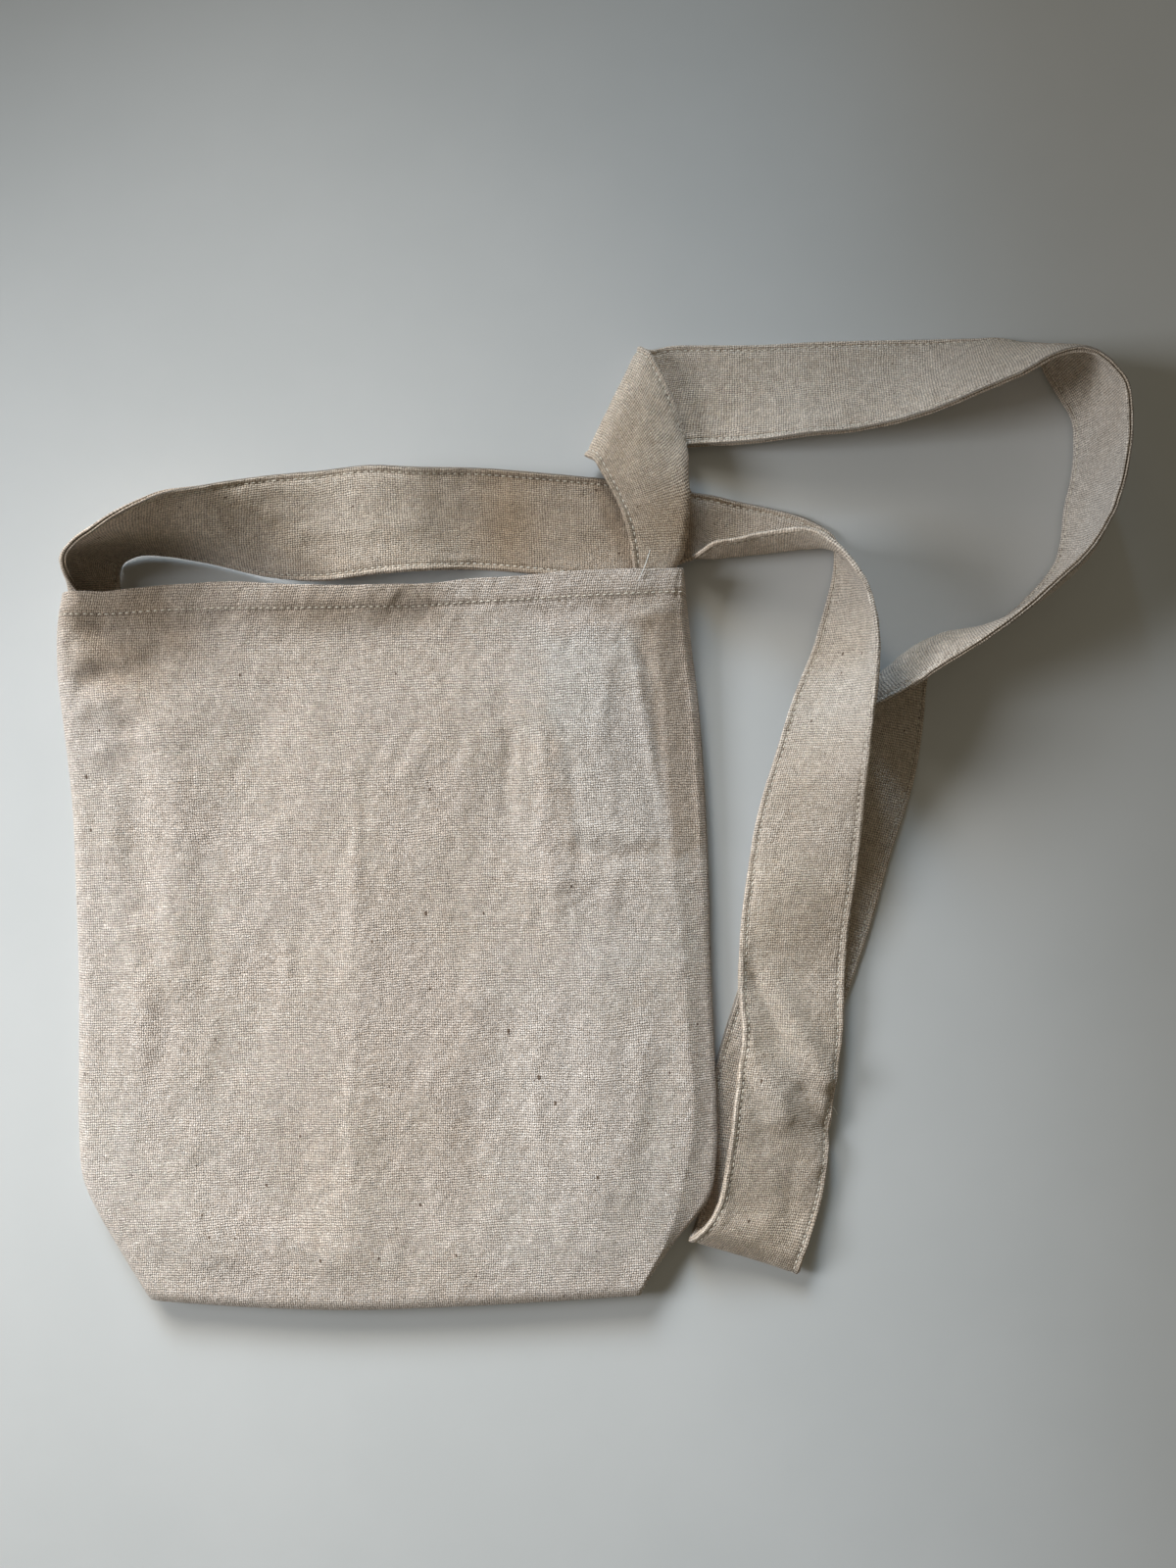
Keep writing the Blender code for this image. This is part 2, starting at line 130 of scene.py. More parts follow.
# The body from its closed end to its mouth. A row's y is given at its left, middle and right.
BODY_COLUMNS = ("y_left", "y_mid", "y_right", "left", "crease", "right",
                "h_left", "h_mid", "h_crease", "rise", "fullness")
BODY_ROWS = [
    (-117.7, -123.8, -122.1, -91, 86, 88, 9, 9.2, 9, 0, 0.6),
    (-106, -109, -108.5, -97.6, 94, 98.5, 9.2, 9.8, 9, 1.2, 0.3),
    (-91, -95, -95, -105.6, 99, 110, 9.2, 9.4, 9.2, 3, 0),
    (-79, -80, -80, -110.2, 102.5, 113.4, 9, 9.2, 9.4, 3.2, 0),
    (-61, -62, -62, -111, 105.5, 114, 8.6, 9.2, 9.6, 3.2, 0),
    (-38, -38, -38, -110.2, 104.6, 113.9, 8.6, 9.2, 9.4, 1.6, 0),
    (-10, -10, -10, -109.2, 103.8, 113.7, 8.8, 9.2, 9.2, 0, 0),
    (20, 20, 20, -109.1, 101.6, 114, 9, 9.2, 9.2, 0, 0),
    (53, 53, 53, -109.4, 100.8, 113.6, 9.2, 9.2, 9.4, 0, 0),
    (80, 80, 80, -111.3, 100.2, 112.5, 10.4, 9.2, 10.2, 0, 0.1),
    (100, 100, 100, -112.5, 98.8, 110.8, 12, 9.2, 11.4, 0, 0.4),
    (118, 117, 117.5, -110.8, 101.5, 109.6, 14.6, 9.2, 13, 0, 0.9),
    (126.6, 124.8, 125.4, -108.6, 104.5, 109, 16, 9.2, 13.6, 0, 1),
]

# The side strip between the crease and its outer edge: how far out, how high on a flat strip and
# on a full one, and how high the underside is, as shares
SIDE_BENDS = [
    (0, 1, 1, 0),
    (0.5, 0.6, 0.94, 0.1),
    (0.84, 0.36, 0.68, 0.4),
    (1, 0, 0, 1),
]

# The front's rim along the mouth, in mm: x, how far its line is moved and how much it is raised
MOUTH_LINE = [
    (-112, -1.4, 1.6),
    (-90, -2, 2.6),
    (-72, 0.3, 3),
    (-55, 1.5, 2.8),
    (-38, 0.9, 2.8),
    (-20, 0.2, 4),
    (0, -0.7, 4.6),
    (13, -1, 4),
    (23, -0.3, 1.4),
    (34, 0.7, 0.4),
    (67, 1.4, 0.4),
    (100, 1.2, 0.8),
    (112, 1, 0.6),
]
MOUTH_FADE = 11.0
RIM_FADE = 19.0

# Folds of the front panel: start, end, height and half width
FRONT_FOLDS = [
    ("middle crease", (-7, 60), (-17, -118), 0.9, 9),
    ("hollow left of it", (-45, 100), (-48, -105), -1, 20),
    ("left swelling", (-78, 92), (-70, -70), 1, 18),
    ("hollow under the hem", (-5, 104), (66, 104), -1.3, 15),
    ("right swelling", (72, 92), (58, 20), 1.3, 16),
    ("right hollow", (44, 70), (40, -90), -0.9, 16),
    ("low right swelling", (72, -20), (68, -108), 1.2, 17),
    ("low left corner", (-76, -98), (-48, -112), 1.3, 14),
    ("left wrinkle", (-106, 96), (-72, 76), 0.9, 8),
    ("corner trough", (-98, 118), (-84, 96), -1.7, 12),
    ("left edge, rolled", (-98, 66), (-98, 6), 1, 6),
    ("valley by the rolled edge", (-86, 78), (-84, 16), -1.7, 5.5),
    ("swelling right of it", (-72, 60), (-74, -10), 0.9, 7),
]

CREASE_STRENGTH = 2.1

# Finer creases of the front panel: start, end, height, half width and how much they
# wander to the side
FINE_CREASES = [
    ("pressed line, upper", (-8, 66), (-10, 18), 0.34, 1.5, 1),
    ("pressed line, lower", (-10, 18), (-17, -118), 0.2, 1.4, 1.1),
    ("trough by it", (-4, 64), (-6, 8), -0.16, 3, 1),
    ("left of the middle", (-34, 30), (-37, -20), 0.18, 2.5, 1.2),
    ("far left upright", (-60, 50), (-63, -30), -0.2, 3.2, 1.5),
    ("left ripple", (-84, 70), (-88, -60), 0.3, 4, 1.6),
    ("left ripple trough", (-77, 66), (-80, -48), -0.3, 4.2, 1.6),
    ("right upright one", (30, 96), (29, 20), 0.25, 2.6, 1.1),
    ("right upright two", (44, 90), (47, 4), -0.42, 2.4, 1),
    ("right upright three", (55, 92), (60, -4), 0.42, 2.6, 1),
    ("right upright four", (66, 84), (70, 2), -0.4, 2.4, 0.8),
    ("right upright five", (78, 88), (82, 6), 0.4, 3, 0.9),
    ("patch's lower edge", (60, 30), (90, 27), -0.22, 3.2, 0.8),
    ("low patch ripple", (40, 20), (76, 20), 0.25, 3, 0.8),
    ("crossing, upper left", (-108, 80), (-86, 86), -0.5, 3.2, 0.8),
    ("crossing, second", (-108, 68), (-80, 74), 0.5, 4, 1),
    ("crossing, third", (-108, 58), (-90, 62), -0.35, 3.5, 0.9),
    ("corner fold", (-110, 104), (-80, 101), 0.8, 4.5, 0.6),
    ("corner fold's trough", (-110, 93), (-72, 103), -1, 4.6, 0.8),
    ("low corner fold", (-110, 83), (-80, 90), 0.6, 4.6, 0.8),
    ("hem's second trough", (-108, 112.5), (-62, 111), -0.55, 1.7, 0.4),
    ("notch under the strap", (8, 121), (18, 112), -0.8, 4, 0.3),
    ("right strip's crease", (100, 90), (104, 30), -0.5, 1.8, 0.6),
    ("patch's low wrinkle", (66, 31), (102, 27), -0.22, 3.6, 0.7),
    ("above it", (64, 37), (98, 33), 0.3, 3.4, 0.5),
    ("patch's right border", (88, 106), (101, 28), 0.6, 2, 0.5),
    ("trough right of it", (93, 104), (104, 30), -0.4, 2.6, 0.6),
    ("slant one", (4, 60), (15, 76), -0.3, 2, 0.3),
    ("slant two", (9, 58), (20, 72), 0.26, 2.2, 0.3),
    ("slant three", (-16, 52), (-4, 70), 0.22, 2.4, 0.4),
    ("slant four", (-52, 60), (-40, 80), -0.22, 2.6, 0.4),
    ("slant five", (24, 30), (34, 48), -0.22, 2.6, 0.4),
    ("slant six", (-28, -14), (-18, 6), 0.2, 2.6, 0.4),
    ("corner line one", (96, 108), (108, 98), -0.5, 2.2, 0.3),
    ("corner line two", (86, 112), (104, 106), 0.4, 2.4, 0.3),
    ("slant, upper left", (-62, 92), (-36, 62), 0.3, 5, 1.6),
    ("slant below it", (-56, 76), (-30, 48), -0.25, 5, 1.6),
    ("slant, middle", (-30, 96), (-14, 64), 0.22, 4, 1.2),
    ("low facet one", (-80, -76), (-58, -112), 0.45, 5, 1.2),
    ("low facet two", (-66, -72), (-50, -100), -0.4, 5, 1.2),
    ("low facet three", (-52, -92), (-18, -116), 0.35, 4.6, 1),
    ("low facet four", (-46, -108), (-26, -120), -0.35, 3.6, 0.8),
    ("low middle ripple", (2, -70), (-2, -118), 0.25, 3.6, 0.9),
    ("low right ripple", (30, -50), (26, -116), -0.3, 3.6, 1),
    ("low right upright", (52, -30), (50, -108), 0.35, 3.2, 1),
    ("low right trough", (62, -24), (62, -96), -0.3, 3, 1),
    ("by the low crease", (88, -36), (80, -96), 0.4, 4, 0.9),
    ("hem shoulder, left", (-100, 113), (-50, 112), -0.35, 3, 0.5),
    ("hem shoulder, right", (40, 113), (98, 113), -0.3, 2.6, 0.5),
    ("right corner pull", (84, 104), (100, 92), -0.6, 3.2, 0.6),
    ("right corner ridge", (80, 98), (98, 84), 0.45, 3.2, 0.6),
]

# Rows of stitches in the flat cloth's own coordinates
HEM_SEAM_Y = BODY_ROWS[-1][1] - HEM_DEPTH + HEM_SEAM_IN
HEM_SEAM = [("along", HEM_SEAM_Y)]
STRAP_SEAMS = [("across", STITCH_EDGE), ("across", STRAP_WIDTH - STITCH_EDGE),
               ("across", STRAP_WIDTH + STITCH_EDGE), ("across", 2 * STRAP_WIDTH - STITCH_EDGE)]

# Patches of the front panel, painted paler or browner: middle, half sizes, turn in degrees, how much
# paler and how soft their border is in mm. Several are painted shade and painted light, marked below
PAINTED_SHADE_AND_TONE_PATCHES = [
    ("pale patch, upper right", (79, 69), (16, 39), 9.7, 0.3, 3),
    ("pale patch, its left part", (64, 88), (15, 20), 6, 0.15, 3.5),
    # painted shade: the right strip slopes away from the light
    ("right strip", (105.5, 70), (8, 42), 7, -0.5, 3),
    ("below the patch", (86, 8), (22, 20), 6, 0.14, 6),
    ("right corner", (92, 112), (17, 7), 0, -0.2, 8),
    # painted light along the left edge, which faces the light
    ("left edge", (-100, 10), (10, 90), 0, 0.08, 12),
    ("low left", (-84, -80), (26, 34), 0, 0.1, 14),
    # painted shade over the middle and the low middle, where the cloth slopes away from the light
    ("middle", (-4, 2), (34, 90), 0, -0.12, 24),
    ("low middle", (-4, -92), (36, 28), 0, -0.08, 20),
    # painted shadow of the strap: under the hem, by the raised rim, in the upper left corner and along
    # the left hem
    ("under the hem, middle", (-10, 106), (44, 12), 0, -0.16, 10),
    ("by the raised rim", (-4, 117), (28, 8), 0, -0.16, 6),
    ("upper left corner", (-86, 110), (20, 14), 20, -0.58, 18),
    ("hem, left", (-42, 121), (66, 8), 0, -0.3, 12),
    ("right of the middle", (34, 20), (16, 60), 0, -0.06, 12),
    ("low right", (66, -62), (36, 54), 0, 0.16, 22),
]

# The strap as it lies, from its left end to its right one. A section is a bent line from edge one,
# by way of the corner that it bends towards, to edge two. The last number, 1 where it isn't given,
# is how sharply it bends: more is sharper, and towards 0 it is doubled over at the corner
STRAP_ROWS = [
    ("left end, sewn in", (-90, 104, 6.4), (-125, 104, 5), (-90, 104, 2.8), 0),
    ("left, inside the mouth", (-95, 117, 9.4), (-121, 117, 6.6), (-90, 117, 3.3), 0),
    ("left of the mouth", (-102, 127, 12.6), (-116, 128.5, 5.4), (-90.5, 128.5, 3.3), 0.5),
    ("left corner", (-98, 133, 30), (-112, 139, 10), (-91, 134.6, 1)),
    ("rise", (-85, 142.4, 35.5), (-93, 143, 22), (-86, 139.4, 1)),
    ("standing", (-68, 152, 33.5), (-74, 143.5, 26), (-78, 140, 1)),
    ("leaning back", (-51, 157.5, 25.5), (-54, 146, 26), (-58, 136, 1)),
    ("lying down", (-34.5, 161.8, 17), (-37, 147.5, 20), (-39, 130.5, 1.5)),
    ("near edge lifts", (-17.5, 164, 13), (-18, 148, 13.5), (-19, 127.5, 5.4)),
    ("raised", (2, 165.5, 12.5), (2, 148, 12.5), (2, 128.5, 9.5)),
    ("towards the dip", (17.5, 164.6, 12.5), (17, 148, 8), (17, 129.2, 8.6)),
    ("dip", (37.5, 164.6, 8.5), (37.2, 148, 3), (37, 130.2, 1.6)),
    ("by the mouth", (60, 162.4, 7.5), (60, 145.5, 3.6), (60, 127.5, 1.8)),
    ("under the strap's end", (80, 160.4, 5), (80, 143, 2.6), (79, 125.2, 2.4)),
    ("by the corner", (96, 158.6, 2), (95.5, 142, 2.8), (95, 127.2, 2.4)),
    ("edge begins to lift", (104, 157.2, 1), (103.5, 138, 3), (103.2, 127.8, 3.4)),
    ("near edge turns up", (111, 155.6, 1), (111, 129.6, 0.8), (111.4, 130.8, 6.4)),
    ("low wall", (120, 154, 1), (118, 128.5, 0), (118.5, 134.2, 14.5), 3),
    ("wall", (129, 151.5, 1), (127, 129, 0), (126, 135, 16.5), 3),
    ("wall grows", (142, 148.2, 1), (139.5, 130, 0), (136, 136.3, 19), 3),
    ("wall before the corner", (154.5, 144, 1), (151, 130.5, 0), (150, 135.3, 26), 2),
    ("outer corner", (163.5, 136, 1), (162, 130, 8), (158.5, 127.5, 31)),
    ("past the corner", (163, 125.5, 1), (168, 124, 14), (164, 118.5, 34)),
    ("front strap starts", (159, 112, 1.6), (172, 111, 13), (167.5, 110, 34)),
    ("front, top", (155.5, 101.5, 2.5), (171, 101, 9), (169, 99, 34)),
    ("at 80", (146.2, 80, 3.2), (163, 79, 9), (168.3, 78.5, 31)),
    ("at 60", (139, 60, 3.6), (157, 60, 8), (167, 59.5, 26)),
    ("at 40", (132.2, 40, 4), (152, 40, 7), (167, 40.5, 16)),
    ("at 20", (128, 20.5, 4.5), (147, 20.5, 6), (165.5, 20.5, 9.5)),
    ("at 0", (124.6, 0.5, 6), (144, 1, 7), (162.5, 1, 8)),
    ("at -20", (123, -19, 8), (142, -19, 5.5), (160.6, -19, 6)),
    ("at -40", (123, -38, 9.5), (141, -39, 7), (159.4, -39, 4.6)),
    ("at -60", (119.6, -57.5, 10.5), (138, -58, 7.5), (155.6, -59, 4.2)),
    ("at -80", (117, -77, 10.5), (135, -78, 8), (153.3, -79, 4.2)),
    ("at -98", (112.4, -96, 10.5), (131, -97, 8), (149.6, -99, 4.6)),
    ("bottom fold, above", (105.5, -105, 10), (124, -110, 8), (142.6, -117, 6.2)),
    ("bottom fold", (102.6, -108.6, 5.6), (122, -115, 4), (141.3, -122.6, 3.6)),
    ("bottom fold, below", (105.2, -105.4, 1.2), (124, -111, 1), (142.5, -117.4, 1)),
    ("under, bottom", (105.8, -87, 1), (124, -90, 1), (142.8, -93, 1)),
    ("under, -60", (112.4, -55.5, 1), (131, -60, 1), (149, -64.5, 1)),
    ("under, -30", (123.2, -23, 1), (141, -29, 1), (158.8, -35, 1)),
    ("under, 0", (135, 9, 1), (153, 3, 1), (170.8, -3, 1)),
    ("under, 30", (145, 38.5, 1), (163, 33, 1), (180.8, 27.5, 1)),
    ("under, 55", (153, 61.5, 1.4), (171, 56, 1), (189, 51, 1)),
    ("edge one lifts", (164, 72.5, 4), (176, 78, 0), (193, 72, 1)),
    ("turn over", (175, 77, 11), (171, 87, 1), (194.5, 84, 1), 2),
    ("turned", (182, 81, 21), (176, 94, 2), (197, 93.5, 1), 1.5),
    ("standing again", (191.5, 88.5, 30), (191, 103, 8), (203, 100, 1)),
    ("loop, near", (207.5, 98, 35), (211, 104, 14), (217, 103, 1)),
    ("loop, 230", (228, 114.2, 36), (233, 110, 16), (230.5, 112.6, 1)),
    ("loop, 240", (239.5, 125, 36), (246, 120, 16), (241, 124.5, 1)),
    ("loop, 145", (249.4, 144, 36), (254, 144.5, 16), (245.8, 145.5, 1)),
    ("loop, 165", (253.2, 165, 36), (257, 165, 15), (249.6, 163.5, 1)),
    ("loop, 178", (252.4, 179, 34.5), (258, 178.5, 14), (249, 176.5, 1)),
    ("far corner", (247.4, 186.4, 33), (256, 190, 13), (245, 184, 1)),
    ("far corner, left", (240.4, 190, 32), (247, 201, 12), (240.4, 192.4, 1)),
    ("top strap starts", (231.5, 188.6, 31), (235.5, 202, 12), (236, 201.5, 1)),
    ("top, 225", (224.5, 185.4, 29.5), (228, 201, 9), (228, 205, 1)),
    ("top, 210", (210, 180, 25.5), (213, 199, 6), (213.5, 206.2, 1)),
    ("top, 195", (193, 175, 19.5), (195, 193, 4), (196.5, 206.8, 1)),
    ("top, 175", (176, 172.6, 14), (177, 191, 2.5), (178, 207.2, 1)),
    ("top, 158", (157.5, 171.3, 12), (158, 190, 2.5), (159, 207.4, 1)),
    ("top, 137", (137, 170.2, 8.5), (138, 189, 2), (139, 207, 1)),
    ("top, 113", (112, 170.6, 4.5), (115, 189, 2), (118, 207.6, 1)),
    ("towards the diagonal fold", (92, 169.6, 2.4), (100, 189, 2), (107.5, 207.6, 1.4)),
    ("diagonal fold, below", (80, 167.4, 2.6), (89.5, 187, 2.4), (99.4, 206.4, 1.9)),
    ("diagonal fold", (76, 167.8, 6.2), (86.2, 187, 5.4), (96.6, 206.8, 4.2)),
    ("diagonal fold, above", (78.4, 165.4, 10.6), (89, 184.5, 10), (99.6, 203.6, 7)),
    ("falling, 180", (80.6, 161, 12.4), (94, 176, 14), (104, 193.6, 8.4)),
    ("falling, 170", (83, 156.4, 13), (102, 168, 16), (108.6, 180.5, 8.8)),
    ("side starts to turn in", (85.4, 151.4, 13), (116, 159, 16), (109.8, 168.6, 8.6)),
    ("folded, 150", (87.6, 146, 13), (126, 150, 15), (103, 153, 7.6), 0.5),
    ("folded, 140", (89.4, 139.4, 12.6), (127, 140.5, 13), (97, 142, 7), 0),
    ("folded, 132", (90.6, 131.6, 11), (125, 132.2, 10), (93, 132.6, 6.2), 0),
    ("right of the mouth", (91, 125.4, 9.8), (119, 126, 8.2), (91.6, 126, 5.6), 0),
    ("right, inside the mouth", (89.5, 117, 8.8), (120.4, 117, 6.6), (89.5, 117, 4.4), 0),
    ("right end, sewn in", (88, 104, 7.6), (121, 104, 5.2), (88, 104, 2.8), 0),
]

# Wrinkles across the strap: where along it they are, as the place's y and x in mm, which way they
# run, and their height and half width
STRAP_WRINKLES = [
    ("front, one", (127, -15), (146, -60), -2.5, 2.8),
    ("front, two", (132, -14), (154, -56), 2.5, 3.2),
    ("front, three", (121, -30), (139, -68), 2, 2.8),
    ("front, four", (120, -44), (131, -74), -1.6, 2.6),
    ("front, five", (140, -56), (156, -76), -2, 3),
    ("front, six", (131, -64), (150, -86), 1.7, 3.2),
    ("front, low upright one", (132, -78), (129, -106), 0.9, 2.2),
    ("front, low upright two", (140, -80), (139, -108), -0.9, 2.2),
    ("front, low swelling", (118, -54), (154, -60), 2.4, 13),
    ("front, low hollow", (116, -92), (150, -100), -1.6, 12),
    ("front, hollow", (126, -8), (162, -14), -1.8, 13),
    ("front, upper swelling", (130, 18), (164, 16), 1.8, 14),
    ("front, upper", (140, 22), (150, 2), 0.5, 5),
    ("front, crossing", (136, 12), (160, 4), -0.5, 4),
    ("left, one", (-44, 156), (-26, 134), 0.7, 3.6),
    ("left, two", (-30, 158), (-14, 140), -0.6, 3.6),
    ("left, lengthwise one", (-30, 143), (18, 145), 0.45, 2.2),
    ("left, lengthwise two", (-24, 138), (22, 139), -0.4, 2),
    ("left, lengthwise three", (-36, 152), (4, 155), -0.4, 2.6),
    ("left, dent", (22, 156), (30, 134), -0.9, 5),
    ("left, four", (48, 160), (52, 132), 0.5, 4.5),
    ("left, upper", (30, 160), (70, 157), -0.4, 2.6),
    ("falling, one", (86, 188), (96, 168), 0.5, 3.4),
    ("falling, two", (92, 196), (104, 178), -0.5, 3.2),
    ("falling, three", (92, 166), (98, 148), 0.4, 3),
    ("top, one", (150, 202), (156, 178), 0.3, 4.5),
    ("top, two", (190, 204), (186, 182), -0.3, 4.5),
]

# Painted shade and painted light on the strap: browner where it lies in shade or in another part's
# shadow, paler where it faces the light: middle, half sizes and how much paler
STRAP_PAINTED_SHADE_AND_LIGHT = [
    ("right part of the left run", (47, 147), (13, 30), -0.85),
    ("before the falling strap", (76, 146), (24, 26), -0.52),
    ("behind the falling strap", (112, 143), (20, 13), -0.8),
    ("falling strap", (93, 178), (13, 20), -0.42),
    ("loop, inner face", (248, 150), (18, 40), 0.4),
    ("front, top", (167, 88), (20, 40), 0.3),
    ("middle of the front strap", (146, 8), (20, 17), -0.24),
    ("low front strap", (136, -40), (18, 20), 0.1),
    ("foot of the front strap", (126, -104), (28, 18), -0.3),
]

# The two loose thread ends, in mm
MOUTH_THREAD = [(92.4, 122, 15.6), (94.6, 126.6, 15.8), (96.8, 132.6, 14.8)]
LOW_THREAD = [(151.6, -61.5, 5.6), (155.2, -64.4, 4.6), (157, -67.6, 2.4)]


def ease(t):
    t = np.clip(t, 0.0, 1.0)
    return t * t * (3 - 2 * t)


def mixed(a, b, t):
    return a + (b - a) * t


def unit(vectors):
    length = np.linalg.norm(vectors, axis=-1, keepdims=True)
    return vectors / np.maximum(length, 1e-9)


def keep_above(points, floor):
    points[..., 2] = np.maximum(points[..., 2], floor)


def distances(points):
    """How far along a line, or along the rows of a grid, each point is, in mm."""
    step = np.linalg.norm(np.diff(points, axis=0), axis=-1)
    return np.concatenate([np.zeros_like(step[:1]), np.cumsum(step, 0)], 0)


def points_at(where, far, line):
    """The points of a line at the given distances along it."""
    return np.stack([np.interp(where, far, line[:, c]) for c in range(3)], -1)


def table_curve(rows, places, where):
    """Reads rows of numbers, which stand at the given places, on the solids' smooth curve."""
    rows, places = np.asarray(rows, float), np.asarray(places, float)
    steps = np.diff(rows, axis=0) / np.diff(places)[:, None]
    share = (np.diff(places)[1:] / (places[2:] - places[:-2]))[:, None]
    slopes = np.concatenate([steps[:1], steps[:-1] * share + steps[1:] * (1 - share), steps[-1:]])
    k = np.clip(np.searchsorted(places, where, side="left") - 1, 0, len(rows) - 2)
    span = (places[k + 1] - places[k])[:, None]
    t = (where[:, None] - places[k][:, None]) / span
    return ((2 * t**3 - 3 * t**2 + 1) * rows[k] + (t**3 - 2 * t**2 + t) * slopes[k] * span
            + (3 * t**2 - 2 * t**3) * rows[k + 1] + (t**3 - t**2) * slopes[k + 1] * span)


def waves(x, y, scale, seed):
    """Soft unevenness without any repeat: slow waves in all directions, about -1 to 1."""
    rng = np.random.default_rng(seed)
    total = np.zeros_like(x)
    for _ in range(22):
        turn, shift = rng.uniform(0, 2 * math.pi, 2)
        length = scale * rng.uniform(0.7, 1.9)
        total += np.sin((x * math.cos(turn) + y * math.sin(turn)) * 2 * math.pi / length + shift)
    return total / 5.0


def ridge(x, y, start, end, height, half_width, wander):
    """A soft ridge or trough from start to end, which fades at its ends and wanders a little."""
    (x0, y0), (x1, y1) = start, end
    along = math.hypot(x1 - x0, y1 - y0)
    ax, ay = (x1 - x0) / along, (y1 - y0) / along
    s = (x - x0) * ax + (y - y0) * ay
    off = (x - x0) * -ay + (y - y0) * ax
    off = off - wander * (np.sin(s / 9.0 + x0) + 0.6 * np.sin(s / 4.3 + y0))
    t = np.clip(s / along, 0.0, 1.0)
    ends = np.hypot(off, s - t * along) / half_width
    swell = 0.72 + 0.28 * np.sin(s / 13.0 + x0 * 1.7)
    fade = ease(t / 0.12 + 0.35) * ease((1 - t) / 0.12 + 0.35)
    return height * swell * fade * np.exp(-ends * ends)


def front_relief(x, y):
    lift = np.zeros_like(x)
    for name, (x0, y0), (x1, y1), height, half_width in FRONT_FOLDS:
        dx, dy = x1 - x0, y1 - y0
        t = np.clip(((x - x0) * dx + (y - y0) * dy) / (dx**2 + dy**2), 0.0, 1.0)
        off = np.hypot(x - x0 - t * dx, y - y0 - t * dy) / half_width
        lift += height * np.exp(-off * off)
    return lift


def fine_relief(x, y):
    return sum(ridge(x, y, start, end, height * CREASE_STRENGTH, half_width, wander)
               for name, start, end, height, half_width, wander in FINE_CREASES)


# Painted shade and light of the front panel, with its other paler and browner patches
def painted_shade_and_tone_at(x, y):
    painted_shade_and_tone = np.zeros_like(x)
    uneven = 1.6 * waves(x, y, 22, 5)
    for name, (mx, my), (hx, hy), turn, paler, soft in PAINTED_SHADE_AND_TONE_PATCHES:
        c, s = math.cos(math.radians(turn)), math.sin(math.radians(turn))
        px, py = (x - mx) * c + (y - my) * s, -(x - mx) * s + (y - my) * c
        beyond = np.maximum(np.abs(px) - hx, np.abs(py) - hy) + uneven
        painted_shade_and_tone += paler * ease(0.5 - beyond / soft)
    return painted_shade_and_tone


def y_across(at, x):
    t = (x - at["left"]) / (at["right"] - at["left"])
    side = np.where(t < 0.5, at["y_left"], at["y_right"])
    return mixed(side, at["y_mid"], np.sin(np.clip(t, 0, 1) * math.pi))


def top_across(at, x):
    t = (x - at["left"]) / (at["crease"] - at["left"])
    side = mixed(at["h_left"], at["h_crease"], t)
    return mixed(side, at["h_mid"], np.sin(math.pi * np.clip(t, 0, 1)) ** PANEL_FLATNESS)


def under_across(at, x):
    inner = at["crease"] - UNDERSIDE_EDGE
    return at["rise"] * np.maximum(x - inner, 0.0) / (at["right"] - inner)


def body_lines(marks):
    """The upper and the lower line of each ring, from left to right, as grids of points in mm."""
    read = table_curve(BODY_ROWS, [row[1] for row in BODY_ROWS], marks)
    at = {name: read[:, c][:, None] for c, name in enumerate(BODY_COLUMNS)}
    at["rise"] = np.maximum(at["rise"], 0.0)
    bends = np.radians(np.linspace(0, 90, 9)[:-1])[None, :]
    left_x = at["left"] + SIDE_ROUND * (1 - np.cos(bends))
    left_z = mixed(SIDE_HEIGHT, top_across(at, left_x), np.sin(bends))
    panel_left = at["left"] + SIDE_ROUND
    panel_x = mixed(panel_left, at["crease"], np.linspace(0, 1, PANEL_COLUMNS)[None, :])
    panel_y = y_across(at, panel_x)
    from_side = np.minimum(panel_x - panel_left, at["crease"] - panel_x) / FOLDS_FADE_SIDE
    from_end = ease((at["y_mid"] - BODY_ROWS[0][1]) / FOLDS_FADE_END)
    panel_z = top_across(at, panel_x)
    panel_z = panel_z + front_relief(panel_x, panel_y) * ease(from_side) * from_end
    panel_z = panel_z + fine_relief(panel_x, panel_y) * ease(from_side * 3) * from_end
    uneven = sum(height * waves(panel_x, panel_y * stretch, scale, seed)
                 for height, stretch, scale, seed in PANEL_WAVES)
    panel_z = panel_z + uneven * ease(from_side * 2) * from_end

    shares, flats, fulls, rises = np.array(SIDE_BENDS, float).T
    out = np.linspace(0, 1, SIDE_COLUMNS_FINE)[1:]
    flat = np.interp(out, shares, flats)[None, :]
    full = table_curve(fulls[:, None], shares, out)[:, 0][None, :]
    side_x = mixed(at["crease"], at["right"], out[None, :])
    up = mixed(flat, full, np.clip(at["fullness"], 0, 1))
    edge_z = SIDE_HEIGHT + EDGE_RISE * at["rise"] * out[None, :] ** 3
    side_z = mixed(edge_z, at["h_crease"], up)

    low_left_z = np.broadcast_to(SIDE_HEIGHT * (1 - np.sin(bends)), left_x.shape)
    low_x = mixed(panel_left, at["crease"], np.linspace(0, 1, UNDER_COLUMNS)[None, :])
    feet = table_curve(rises[:, None], shares, out)[:, 0][None, :]
    foot_z = np.maximum(under_across(at, side_x), SIDE_HEIGHT * np.maximum(feet, 0.0))
    foot_z[:, -1:] = side_z[:, -1:]
    lines = []
    for x, z in (((left_x, panel_x, side_x), (left_z, panel_z, side_z)),
                 ((left_x, low_x, side_x), (low_left_z, under_across(at, low_x), foot_z))):
        x = np.concatenate(x, 1)
        lines.append(np.stack([x, y_across(at, x), np.concatenate(z, 1)], -1))
    keep_above(lines[1], 0.0)
    lines[1][:, :, 2] += BODY_REST
    return lines


